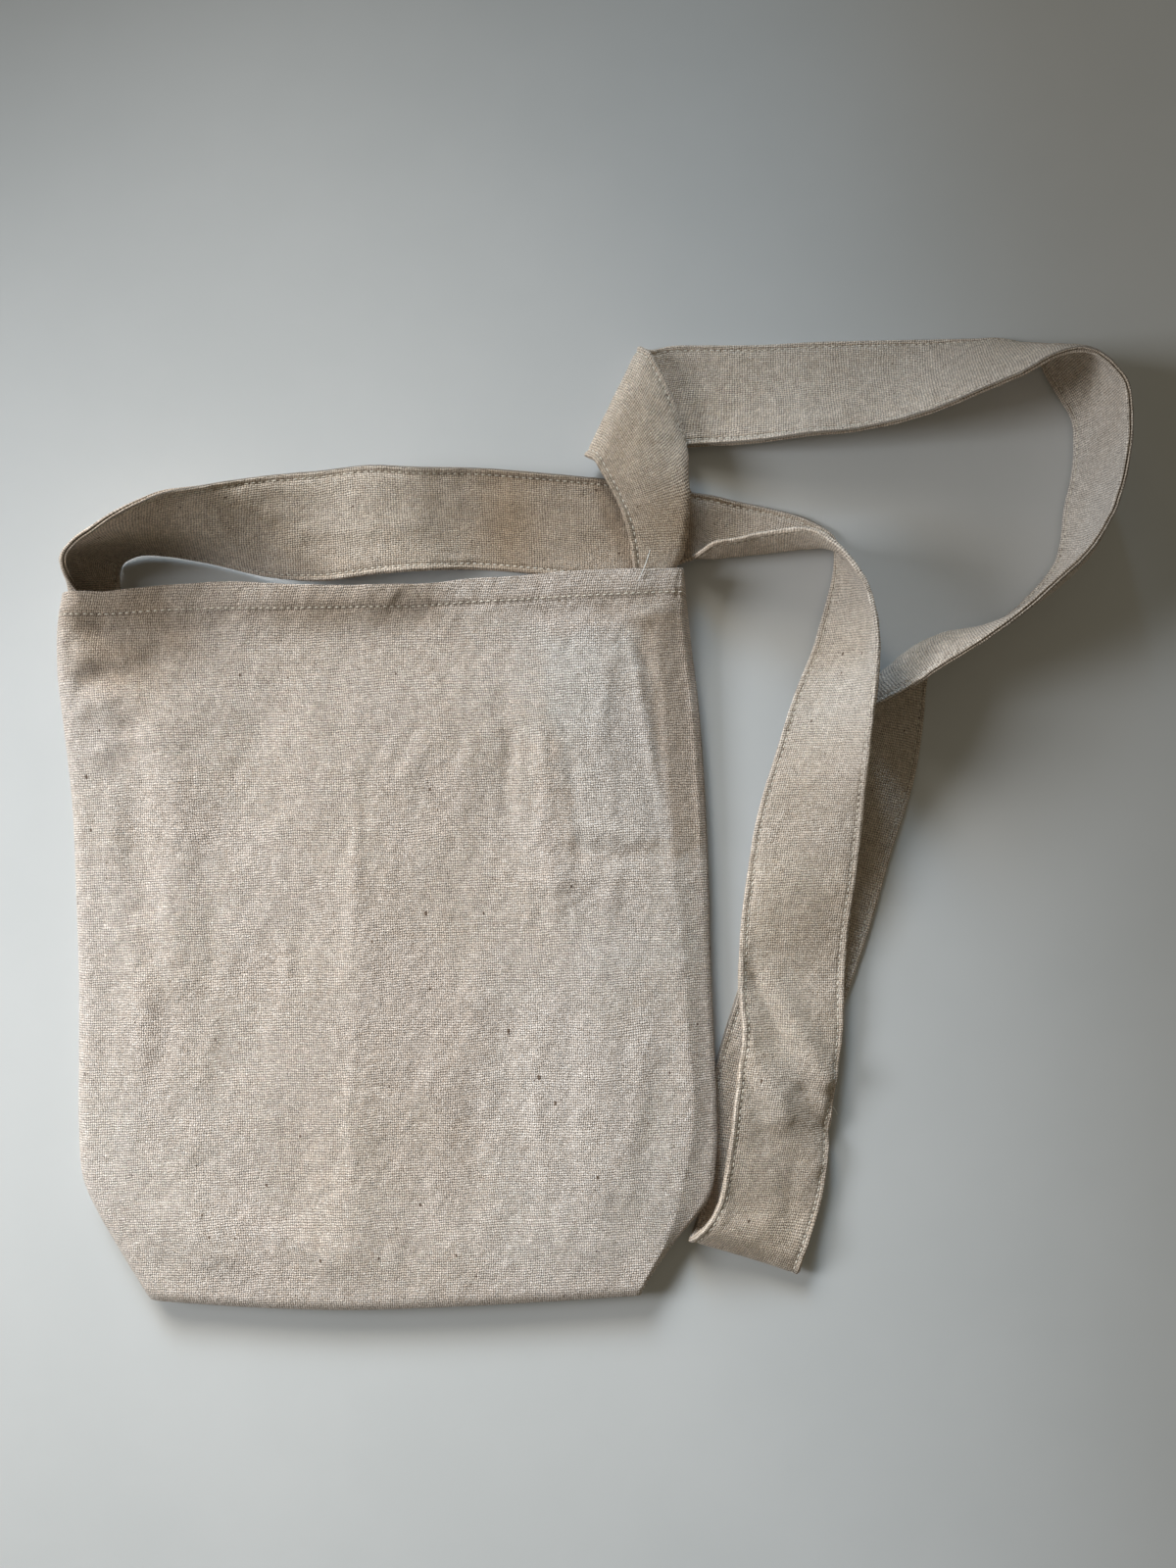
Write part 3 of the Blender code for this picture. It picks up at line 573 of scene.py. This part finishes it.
def tube_faces(rings, around):
    r, c = np.meshgrid(np.arange(rings - 1), np.arange(around), indexing="ij")
    a = r * around + c
    b = r * around + (c + 1) % around
    return np.stack([a, b, b + around, a + around], -1).reshape(-1, 4).tolist()


def capped_tube(rings, around):
    ring = list(range(around))
    return tube_faces(rings, around) + [ring[::-1], [(rings - 1) * around + k for k in ring]]


def add_mesh(name, points, faces, material, uvs=None, painted_shade_and_tone=None):
    """A smooth mesh from points in mm. A cloth also has its flat coordinates and its tone, with
    painted shade and light.
    """
    mesh = bpy.data.meshes.new(name)
    mesh.from_pydata((np.asarray(points, float) * MM).tolist(), [], faces)
    mesh.polygons.foreach_set("use_smooth", [True] * len(mesh.polygons))
    if uvs is not None:
        layer = mesh.uv_layers.new(name="cloth")
        corner = np.zeros(len(mesh.loops), int)
        mesh.loops.foreach_get("vertex_index", corner)
        layer.data.foreach_set("uv", uvs.reshape(-1, 2).astype(np.float32)[corner].ravel())
        attribute = mesh.attributes.new("painted_shade_and_tone", "FLOAT", "POINT")
        attribute.data.foreach_set("value", painted_shade_and_tone.ravel().astype(np.float32))
    mesh.update()
    piece = bpy.data.objects.new(name, mesh)
    piece.data.materials.append(material)
    bpy.context.scene.collection.objects.link(piece)
    return piece


def reckoned(operation):
    return lambda a, b: a.nodes.math(operation, a, b)


class Signal:
    """An output of a material's node, with which one can reckon as with a number."""

    __add__, __sub__ = reckoned("ADD"), reckoned("SUBTRACT")
    __mul__, __truediv__ = reckoned("MULTIPLY"), reckoned("DIVIDE")
    __pow__ = reckoned("POWER")

    def __init__(self, nodes, socket):
        self.nodes, self.socket = nodes, socket

    def other(self, name):
        """Another output of the same node."""
        return Signal(self.nodes, self.socket.node.outputs[name])


class Material:
    """A new material and short names for its nodes."""

    def __init__(self, name):
        self.made = bpy.data.materials.new(name)
        self.made.use_nodes = True
        self.tree = self.made.node_tree

    def fill(self, node, inputs):
        for key, value in inputs.items():
            socket = node.inputs[key]
            if isinstance(value, Signal):
                self.tree.links.new(value.socket, socket)
            else:
                socket.default_value = (*value, 1.0) if socket.type == "RGBA" else value

    def put(self, kind, inputs, output=0, **settings):
        node = self.tree.nodes.new("ShaderNode" + kind)
        for key, value in settings.items():
            setattr(node, key, value)
        self.fill(node, inputs)
        return Signal(self, node.outputs[output])

    def math(self, operation, *values):
        return self.put("Math", dict(enumerate(values)), operation=operation)

    def vector(self, operation, *values):
        return self.put("VectorMath", dict(enumerate(values)), operation=operation)

    def combine(self, *values):
        return self.put("CombineXYZ", dict(enumerate(values)))

    def noise(self, vector, scale, detail=2.0, rough=0.5):
        return self.put("TexNoise", {"Vector": vector, "Scale": scale, "Detail": detail,
                                     "Roughness": rough})

    def steps(self, *values):
        """A value brought softly from one range, low and high, to another, 0 to 1 if not given."""
        return self.put("MapRange", dict(enumerate(values)), interpolation_type="SMOOTHSTEP")

    def colour(self, share, a, b, blend="MIX"):
        return self.put("Mix", {0: share, 6: a, 7: b}, 2, data_type="RGBA", blend_type=blend)

    def bump(self, height, strength, distance):
        return self.put("Bump", {"Height": height, "Strength": strength, "Distance": distance})

    def finish(self, **inputs):
        named = {key.replace("_", " "): value for key, value in inputs.items()}
        self.fill(self.tree.nodes["Principled BSDF"], named)
        return self.made


def canvas(name, thread, gap_shade, fleck_rate, seams):
    """Plain weave canvas in unbleached cotton, in the flat cloth's millimetres.

    seams is a list of (which way, where): rows of stitches that pull the cloth in.
    """
    n = Material(name)
    uv = n.put("UVMap", {}, uv_map="cloth")
    across = n.put("SeparateXYZ", {0: uv})
    along = across.other("Y")

    def threads(place, pitch, slow_scale, slow_move, quick_move):
        """The threads one way, counted, and their rounds: they wander and shiver a little."""
        slow = n.noise(n.vector("ADD", uv, slow_move), slow_scale)
        quick = n.noise(n.vector("ADD", uv, quick_move), 0.55)
        count = (place + (slow * 3.0 + quick * 0.78)) / pitch
        return count, n.math("SINE", count * math.pi)

    def heights(wave, slub, over):
        return n.math("ABSOLUTE", wave) ** 0.7 * (slub + 0.35) + over

    warp, wave = threads(across, WARP_PITCH, 0.035, (0, 0, 0), (0, 0, 0))
    weft, wave_two = threads(along, WEFT_PITCH, 0.03, (71, 13, 0), (31, 57, 0))
    over = wave * wave_two * 0.42

    # Each thread has its own thickness, and thick places along it
    warp_one, weft_one = n.math("FLOOR", warp), n.math("FLOOR", weft)
    warp_slub = n.noise(n.combine(warp_one * 3.7, along * 0.16), 1.0, 3.0, 0.65)
    weft_slub = n.noise(n.combine(across * 0.16, weft_one * 3.7, 9.0), 1.0, 3.0, 0.65)
    height = n.math("SMOOTH_MAX", heights(wave, warp_slub, over),
                    heights(wave_two, weft_slub, over * -1.0), 0.12)

    # Small holes where the gaps of both ways cross, each of its own depth
    crossing = n.put("TexWhiteNoise", {"Vector": n.combine(warp_one, weft_one)},
                     noise_dimensions="2D")
    corner = n.put("TexWhiteNoise", {"Vector": n.combine(n.math("ROUND", warp),
                                                         n.math("ROUND", weft))},
                   noise_dimensions="2D")
    gap, gap_two = (n.steps(n.math("ABSOLUTE", each), 0.98, 0.38) for each in (wave, wave_two))
    loose = n.steps(n.noise(uv, 0.30, 3.0, 0.75), 0.3, 0.7, 0.45, 1.0)
    pin = gap * gap_two * (corner * 0.5 + 0.5) * loose
    between = n.math("MAXIMUM", gap, gap_two) * loose

    # Along each seam the cloth is drawn in, with a needle hole between two stitches
    seam, needle = 0.0, 0.0
    for way, where in seams:
        side, run = (across, along) if way == "across" else (along, across)
        off = n.math("ABSOLUTE", side - where)
        seam = n.math("MAXIMUM", seam, n.steps(off, 1.1, 0.15))
        beat = n.math("COSINE", run * (2 * math.pi / STITCH_PITCH))
        holes = n.steps(off, 0.55, 0.2) * n.steps(beat, 0.35, 0.95)
        needle = n.math("MAXIMUM", needle, holes)
    height = height - seam * 0.35

    # Colour: pale threads of slightly different brightness, with painted shade in the gaps and holes
    # between them
    def shade(*shares):
        return tuple(min(c * share, 1.0) for c, share in zip(thread, shares))

    streaks = n.steps(warp_slub * 0.5 + weft_slub * 0.5, 0.5 - STREAK, 0.5 + STREAK)
    base = n.colour(streaks, shade(0.86, 0.82, 0.77), shade(1.06, 1.06, 1.06))
    cloud = n.steps(n.noise(uv, 0.022, 3.0, 0.55), 0.3, 0.7)
    base = n.colour(cloud * 0.35, base, shade(0.98, 0.985, 1.02))
    # the tone paints light and shade: paler with painted light, browner with painted shade
    painted_shade_and_tone = n.put("Attribute", {}, "Fac", attribute_name="painted_shade_and_tone")
    base = n.colour(n.math("MAXIMUM", painted_shade_and_tone, 0.0), base, PALE_AND_PAINTED_LIGHT)
    base = n.colour(n.math("MINIMUM", painted_shade_and_tone, 0.0) * -1.0, base, shade(*BROWN_AND_PAINTED_SHADE))
    grain = n.steps(n.noise(uv, 1.7, 2.0, 0.8), 0.3, 0.7)
    for share, dark, light in ((crossing, (0.84, 0.83, 0.82), (1.09, 1.09, 1.09)),
                               (grain, (0.86, 0.85, 0.84), (1.08, 1.08, 1.08))):
        base = n.colour(1.0, base, n.colour(share, dark, light), "MULTIPLY")
    faint = n.steps(n.noise(uv, 0.09, 2.0, 0.6), 0.35, 0.65, 0.18, 0.75)

    # Dark seed flecks, most of them tiny, drawn out along the threads
    def flecks(stretch, scale, rate, least, more, soft):
        cell = n.put("TexVoronoi", {"Vector": n.vector("MULTIPLY", uv, stretch), "Scale": scale})
        chance = n.put("SeparateColor", {0: cell.other("Color")})
        size = chance ** 4.0 * more + least
        return n.steps(size - cell, 0.0, soft) * n.math("LESS_THAN", chance.other("Green"), rate)

    seeds = flecks((1.0, 0.62, 1.0), 0.19, fleck_rate, 0.068, 0.06, 0.022)
    dots = flecks((0.7, 1.0, 1.0), 0.55, 0.20, 0.16, 0.0, 0.08)
    # painted shade in the gaps and pinholes between threads, along the drawn-in seams and in the
    # needle holes; the seeds and dots are the cloth's own flecks
    for share, dark in ((between * 0.40, gap_shade), (pin, gap_shade), (seam * 0.11, gap_shade),
                        (needle * faint, (0.16, 0.115, 0.085)),
                        (seeds * 0.9, (0.13, 0.08, 0.05)), (dots * 0.66, (0.25, 0.16, 0.09))):
        base = n.colour(share, base, dark)

    fuzz = n.noise(uv, 1.9, 3.0, 0.7)
    slanted = n.vector("MULTIPLY", n.combine(across + along * -0.5, along + across * 0.5),
                       (1.0, 0.5, 1.0))
    rumple = n.noise(slanted, 0.17, 4.0, 0.64) * 3.8
    return n.finish(Base_Color=base, Normal=n.bump(height + (fuzz * 0.8 + rumple), 1.0, 0.0003),
                    Roughness=n.steps(height, 0.2, 0.9, 0.97, 0.86), Specular_IOR_Level=0.22,
                    Sheen_Weight=0.18, Sheen_Roughness=0.55)


def thread_cotton(name, colour):
    """Twisted sewing thread."""
    n = Material(name)
    where = n.put("TexCoord", {}, "Object")
    twist = n.put("TexWave", {"Vector": where, "Scale": 900.0, "Distortion": 2.0}, 1,
                  bands_direction="DIAGONAL")
    blend = n.steps(n.noise(where, 700.0), 0.3, 0.7)
    return n.finish(Base_Color=n.colour(blend, colour, tuple(c * 0.86 for c in colour)),
                    Normal=n.bump(twist, 0.5, 0.00008), Roughness=0.8, Sheen_Weight=0.15)


def closed_end_faces(upper, lower, around):
    """Strips from the first upper line to the first lower one, which has fewer columns."""
    across, under = upper.shape[1], lower.shape[1]
    low_ids = [0] + [around - k for k in range(1, under - 1)] + [across - 1]
    x_up, x_low = upper[0, :, 0], lower[0, :, 0]
    faces = []
    k = 0
    for c in range(across - 1):
        while k < under - 2 and abs(x_low[k + 1] - x_up[c + 1]) < abs(x_low[k] - x_up[c + 1]):
            faces.append([c, low_ids[k], low_ids[k + 1]])
            k += 1
        faces.append([c, low_ids[k], c + 1])
    faces.append([across - 1, low_ids[k], low_ids[under - 1]])
    return [face for face in faces if len(set(face)) == 3]


def build_body(material):
    first, mouth = BODY_ROWS[0][1], BODY_ROWS[-1][1]
    hem = mouth - HEM_DEPTH
    marks = np.linspace(first, mouth, int((mouth - first) / BODY_STEP))
    marks = np.unique(np.concatenate([marks, np.linspace(hem - 1.2, hem + 1.2, 7),
                                      np.linspace(mouth - 1.5, mouth, 5)]))
    upper, lower = body_lines(marks)

    # The rim rises towards the mouth, and its line wanders
    x = upper[:, :, 0]
    rim_x, rim_y, rim_z = np.array(MOUTH_LINE, float).T
    up_to = mouth - marks[:, None]
    raised = np.interp(x, rim_x, rim_z) * ease(1 - up_to / RIM_FADE)
    upper[:, :, 1] += np.interp(x, rim_x, rim_y) * ease(1.15 - up_to / MOUTH_FADE)
    upper[:, :, 2] += raised * ease((x - upper[:, :1, 0]) / 10.0)

    # The hem: one more cloth inside, pulled in by its stitches, soft and a little puckered
    into = marks[:, None] - hem
    step = ease(into / 1.6 + 0.5)
    line = np.exp(-((into - HEM_SEAM_IN) / 0.75) ** 2)
    pucker = 0.5 + 0.5 * np.cos(2 * math.pi * x / STITCH_PITCH)
    upper[:, :, 2] += step * HEM_THICK - line * (HEM_PULL + HEM_PUCKER * pucker)
    upper[:, :, 2] += 0.18 * step * waves(x, upper[:, :, 1] * 0.4, 13, 11)
    upper[:, :, 1] += 0.35 * step * waves(x, 0.0, 30, 12) * ease(into / HEM_DEPTH)

    ends = []
    for bend in np.radians(END_BENDS):
        for line in (upper[0], lower[0]):
            moved = line.copy()
            moved[:, 0] *= 1 - END_TAPER * math.sin(bend)
            moved[:, 1] -= END_ROUND * math.sin(bend)
            moved[:, 2] = mixed(moved[:, 2], SIDE_HEIGHT, 1 - math.cos(bend))
            ends.append(moved)
    upper = np.concatenate([np.stack(ends[0::2]), upper])
    lower = np.concatenate([np.stack(ends[1::2]), lower])

    # The side seam's second ridge, just inside the right edge
    x, y = upper[:, :, 0], upper[:, :, 1]
    inside = x - (upper[:, -1:, 0] - SIDE_RIDGE_IN)
    share = ease((y - 20) / 15) * ease((112 - y) / 15)
    upper[:, :, 2] += SIDE_RIDGE * share * np.exp(-inside**2)
    upper[:, :, 2] -= SIDE_GROOVE * share * np.exp(-((inside - 1.5) / 0.6) ** 2)

    ring = np.concatenate([upper, lower[:, -2:0:-1]], 1)
    count, around = ring.shape[:2]
    faces = tube_faces(count, around) + closed_end_faces(upper, lower, around)
    across = upper.shape[1]
    round_it = distances(ring.swapaxes(0, 1)).T
    uvs = np.stack([round_it - round_it[:, across // 2][:, None], ring[:, :, 1]], -1)
    painted_shade_and_tone = np.zeros((count, around))
    # the front panel's painted shade and light, and its other paler and browner patches
    painted_shade_and_tone[:, :across] = painted_shade_and_tone_at(upper[:, :, 0], upper[:, :, 1])
    body = add_mesh("bag_cloth", ring.reshape(-1, 3), faces, material, uvs, painted_shade_and_tone)
    solid = body.modifiers.new("cloth", "SOLIDIFY")
    solid.thickness = CLOTH_THICK * MM
    solid.offset = -1.0
    return body, upper


def folded_lines(one, nose, two, columns):
    """A section doubled over: straight from edge one to the fold, round it, and straight back."""
    out = unit(nose - (one + two) / 2)
    across = one - two
    across = unit(across - out * across.dot(out))
    middle = nose - out * FOLD_RADIUS
    bends = [middle + (across * math.cos(a) + out * math.sin(a)) * FOLD_RADIUS
             for a in np.linspace(0, math.pi, 9)]
    path = np.array([one, mixed(one, bends[0], FOLD_LEG), *bends,
                     mixed(two, bends[-1], FOLD_LEG), two])
    far = distances(path)
    return points_at(np.linspace(0, far[-1], columns), far, path)


def bend_line(row, t):
    """A strap section's points at the shares t of the way from edge one to edge two."""
    one, corner, two = row[0:3], row[3:6], row[6:9]
    pull = max(row[9], 1.0)
    a, b, c = ((1 - t) ** 2)[:, None], (2 * t * (1 - t) * pull)[:, None], (t * t)[:, None]
    return (one * a + corner * b + two * c) / (a + b + c)


def nose_of(row):
    return bend_line(row, np.array([0.5]))[0]


def strap_middle_lines():
    """The strap's middle layer as a grid of sections, each evenly divided from edge to edge."""
    rows = np.array([(*one, *corner, *two, *(crease or [1]))
                     for name, one, corner, two, *crease in STRAP_ROWS], float)
    places = distances(np.array([nose_of(row) for row in rows]))
    marks = []
    for k in range(1, len(rows)):
        runs = [np.linalg.norm(rows[k][c:c + 3] - rows[k - 1][c:c + 3]) for c in (0, 6)]
        steps = max(3, round(max(*runs, places[k] - places[k - 1]) / STRAP_STEP))
        marks += [mixed(places[k - 1], places[k], s / steps) for s in range(steps)]
    marks.append(places[-1])
    sections = []
    for row in table_curve(rows, places, np.array(marks)):
        line = bend_line(row, np.linspace(0, 1, 90))
        keep_above(line, STRAP_REST)
        far = distances(line)
        line = points_at(np.linspace(0, far[-1], STRAP_COLUMNS + 1), far, line)
        doubled = 1 - min(max(row[9], 0.0), 1.0)
        if doubled > 0:
            folded = folded_lines(row[0:3], nose_of(row), row[6:9], STRAP_COLUMNS + 1)
            line = mixed(line, folded, doubled)
        keep_above(line, STRAP_REST)
        sections.append(line)
    return np.array(sections)


def normals_of(grid):
    return unit(np.cross(np.gradient(grid, axis=1), np.gradient(grid, axis=0)))


def build_strap(material):
    middle = strap_middle_lines()
    x, y = middle[:, :, 0], middle[:, :, 1]
    columns = np.linspace(0, 1, STRAP_COLUMNS + 1)
    normal = normals_of(middle)
    low_enough = ease((middle[:, :, 2] - 1.6) / 1.5)
    lift = sum(ridge(x, y, start, end, height, half_width, 0.6)
               for name, start, end, height, half_width in STRAP_WRINKLES)
    s, t = np.broadcast_arrays(distances(middle)[:, STRAP_COLUMNS // 2][:, None],
                               columns[None, :] * STRAP_WIDTH)
    lift += 0.22 * waves(s, t, 24, 21) + 0.10 * waves(s, t, 8, 22)
    upwards = np.tanh(4.0 * normal[:, :, 2])
    middle = middle + normal * (lift * low_enough * upwards)[:, :, None]
    keep_above(middle, STRAP_REST)

    places = np.array(STRAP_PLACES, float)
    share = places / STRAP_WIDTH
    k = np.clip(np.searchsorted(columns, share, side="right") - 1, 0, STRAP_COLUMNS - 1)
    f = ((share - columns[k]) / (columns[k + 1] - columns[k]))[None, :, None]
    base, out = (values[:, k] * (1 - f) + values[:, k + 1] * f
                 for values in (middle, normals_of(middle)))
    out = unit(out)

    # How far each face stands from the middle layer: the stitch lines are pulled in, and the edges
    # are round and a little fuller
    s, t = np.broadcast_arrays(distances(base)[:, len(places) // 2][:, None], places[None, :])
    half = np.full_like(t, STRAP_THICK / 2)
    for line in (STITCH_EDGE, STRAP_WIDTH - STITCH_EDGE):
        pull = np.exp(-((t - line) / 0.7) ** 2)
        half -= pull * (STRAP_PULL + STRAP_PUCKER * np.cos(2 * math.pi * s / STITCH_PITCH))
    from_edge = np.clip(np.minimum(t, STRAP_WIDTH - t) / 0.8, 0, 1)
    edge_round = np.sqrt(np.clip(1 - (1 - from_edge) ** 2, 0, 1))
    edge_one_swell = 0.34 * np.exp(-((t - 0.8) / 0.9) ** 2)
    edge_two_swell = 0.14 * np.exp(-((t - 37.1) / 0.8) ** 2)
    half = (half + edge_one_swell + edge_two_swell) * np.maximum(edge_round, 0.08)
    half += 0.05 * waves(s, t, 5, 31) * (edge_round > 0.5)
    up = base + out * half[:, :, None]
    down = base - out * half[:, :, None]
    keep_above(down, STRAP_FLOOR)
    keep_above(up, STRAP_FLOOR + 0.02)

    # Edge one is open: its rim dips in between the two folded layers, down to the groove
    edge, way = base[:, :1], out[:, :1]
    groove = edge + (base[:, 6:7] - edge) * (GROOVE_DEPTH / STRAP_PLACES[6])
    tuck = (groove - edge) * 0.02
    ring = np.concatenate([up[:, 1:-1], base[:, -1:], down[:, -2:0:-1],
                           edge - way * RIM_OUT - tuck, edge - way * LIP_OUT + tuck, groove,
                           edge + way * LIP_OUT + tuck, edge + way * RIM_OUT - tuck], 1)
    keep_above(ring, STRAP_FLOOR)
    count, around = ring.shape[:2]
    u_top = places[1:-1]
    u = np.concatenate([u_top, [STRAP_WIDTH], 2 * STRAP_WIDTH - u_top[::-1],
                        2 * STRAP_WIDTH + np.array(GROOVE_ACROSS)])
    u, v = np.broadcast_arrays(u[None, :], s[:, :1])
    painted_shade_and_tone = np.zeros((count, around))
    # painted shade and painted light on the strap
    for name, (mx, my), (hx, hy), paler in STRAP_PAINTED_SHADE_AND_LIGHT:
        off = ((ring[:, :, 0] - mx) / hx) ** 2 + ((ring[:, :, 1] - my) / hy) ** 2
        painted_shade_and_tone += paler * np.exp(-off)
    # painted shade in the groove of the open edge
    painted_shade_and_tone[:, -4:-1] = GROOVE_PAINTED_SHADE
    painted_shade_and_tone += 0.05 * waves(u, v, 40, 41)
    strap = add_mesh("strap_cloth", ring.reshape(-1, 3), capped_tube(count, around), material,
                     np.stack([u, v], -1), painted_shade_and_tone)
    return strap, base, out, half


def stitches(name, centres, directions, ups, material):
    """Short rounded thread lengths, each lying in its place on the cloth."""
    points, faces = [], []
    one_stitch = capped_tube(len(STITCH_RINGS), STITCH_SIDES)
    for centre, direction, up in zip(centres, unit(np.array(directions)), ups):
        up = unit(up - direction * up.dot(direction))
        side = np.cross(direction, up)
        start = len(points)
        for place, wide in STITCH_RINGS:
            sink = -0.17 * place * place
            for k in range(STITCH_SIDES):
                angle = 2 * math.pi * k / STITCH_SIDES
                points.append(centre + direction * (place * STITCH_LENGTH / 2)
                              + up * (sink + STITCH_RADIUS * wide * math.cos(angle))
                              + side * (STITCH_RADIUS * 1.1 * wide * math.sin(angle)))
        faces += [[start + k for k in face] for face in one_stitch]
    return add_mesh(name, points, faces, material)


def seam_places(line, start, end):
    """A row of stitches on a line: how far along they lie, their places and the thread's way."""
    far = distances(line)
    wanted = np.arange(start, far[-1] - end, STITCH_PITCH)
    wanted = wanted + RNG.normal(0, 0.1, len(wanted))
    way = points_at(wanted + 0.8, far, line) - points_at(wanted - 0.8, far, line)
    return wanted, far, points_at(wanted, far, line), way


def strap_stitches(base, out, half, material):
    """Both rows, on both faces of the strap, but not where a face lies on the table."""
    centres, directions, ups = [], [], []
    for line in (STITCH_EDGE, STRAP_WIDTH - STITCH_EDGE):
        column = int(np.argmin(np.abs(np.array(STRAP_PLACES) - line)))
        wanted, far, place, way = seam_places(base[:, column], 16.0, 16.0)
        normal = unit(points_at(wanted, far, out[:, column]))
        stand = np.interp(wanted, far, half[:, column])
        for side in (1, -1):
            lifted = place + normal * (side * (stand + 0.08))[:, None]
            keep = lifted[:, 2] > 0.35
            centres += list(lifted[keep])
            directions += list(way[keep])
            ups += list((normal * side)[keep])
    return stitches("strap_stitches", centres, directions, ups, material)


def hem_stitches(upper, material):
    """One row along the front of the mouth, where the hem is sewn down."""
    row = int(np.argmin(np.abs(upper[:, upper.shape[1] // 2, 1] - HEM_SEAM_Y)))
    place, way = seam_places(upper[row], 3.0, 2.0)[2:]
    way = unit(way)
    up = np.cross(way, np.array([0.0, 1.0, 0.0]))
    up *= np.sign(up[:, 2:3] + 1e-6)
    return stitches("hem_stitches", place + up * 0.06, way, up, material)


def loose_thread(name, points, radius, material):
    """A thread end as a fine tube through its points, in mm."""
    points = np.array(points, float)
    far = distances(points)
    fine = table_curve(points, far, np.linspace(0, far[-1], 28))
    along = unit(np.gradient(fine, axis=0))
    side = unit(np.cross(along, np.array([0.0, 0.0, 1.0])))
    up = np.cross(side, along)
    ring = np.stack([fine + (side * math.cos(a) + up * math.sin(a)) * radius
                     for a in np.linspace(0, 2 * math.pi, 7)[:-1]], 1)
    return add_mesh(name, ring.reshape(-1, 3), capped_tube(len(fine), 6), material)


def table_top():
    bpy.ops.mesh.primitive_plane_add(size=5.0, location=(0.07, 0.05, 0.0))
    floor = bpy.context.object
    floor.name = "table_top"
    n = Material("pale_table")
    where = n.put("TexCoord", {}, "Object")
    cloud = n.steps(n.noise(where, 9.0, 4.0, 0.6), 0.3, 0.7)
    grain = n.noise(where, 900.0, 3.0, 0.6)
    floor.data.materials.append(n.finish(
        Base_Color=n.colour(cloud, (0.60, 0.61, 0.61), (0.63, 0.637, 0.637)),
        Normal=n.bump(grain, 0.12, 0.0001), Roughness=0.42, Specular_IOR_Level=0.35))


def light_the_scene():
    scene = bpy.context.scene
    scene.world = bpy.data.worlds.new("room")
    scene.world.use_nodes = True
    back = scene.world.node_tree.nodes["Background"]
    back.inputs["Color"].default_value = ROOM_COLOUR
    back.inputs["Strength"].default_value = ROOM_STRENGTH
    for name, place, target, size, power, colour, spread in WINDOWS:
        data = bpy.data.lights.new(name, "AREA")
        data.shape = "RECTANGLE"
        data.size, data.size_y = size
        data.energy = power
        data.color = colour
        data.spread = math.radians(spread)
        lamp = bpy.data.objects.new(name, data)
        lamp.location = place
        lamp.rotation_euler = (Vector(target) - Vector(place)).to_track_quat("-Z", "Y").to_euler()
        scene.collection.objects.link(lamp)
    scene.view_settings.view_transform = "Standard"


def add_camera():
    data = bpy.data.cameras.new("camera")
    data.lens = CAMERA_LENS
    data.sensor_width = 36.0
    data.sensor_fit = "AUTO"
    data.clip_start = 0.01
    camera = bpy.data.objects.new("camera", data)
    camera.location = [v * MM for v in CAMERA_PLACE]
    camera.rotation_euler = (0.0, 0.0, math.radians(CAMERA_TURN))
    bpy.context.scene.collection.objects.link(camera)
    bpy.context.scene.camera = camera


add_camera()
light_the_scene()
table_top()

# each canvas's second colour is the painted shade in its gaps, pinholes and seams
bag_canvas = canvas("bag_canvas_cloth", (0.965, 0.852, 0.772), (0.055, 0.036, 0.024), 0.24,
                    HEM_SEAM)
strap_canvas = canvas("strap_canvas_cloth", (0.96, 0.825, 0.7), (0.055, 0.035, 0.022), 0.32,
                      STRAP_SEAMS)
sewing_thread = thread_cotton("sewing_thread", (0.80, 0.73, 0.62))
white_thread = thread_cotton("white_thread", (0.88, 0.86, 0.82))

body, front_lines = build_body(bag_canvas)
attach(body, "root")
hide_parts("bag_body")

strap, strap_base, strap_out, strap_half = build_strap(strap_canvas)
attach(strap, "root")
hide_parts("shoulder_strap")

seams = strap_stitches(strap_base, strap_out, strap_half, sewing_thread)
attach(seams, "root")
hem = hem_stitches(front_lines, sewing_thread)
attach(hem, "root")

ends = loose_thread("thread_end_by_mouth", MOUTH_THREAD, 0.16, white_thread)
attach(ends, "root")
tuft = loose_thread("thread_end_low", LOW_THREAD, 0.15, white_thread)
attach(tuft, "root")
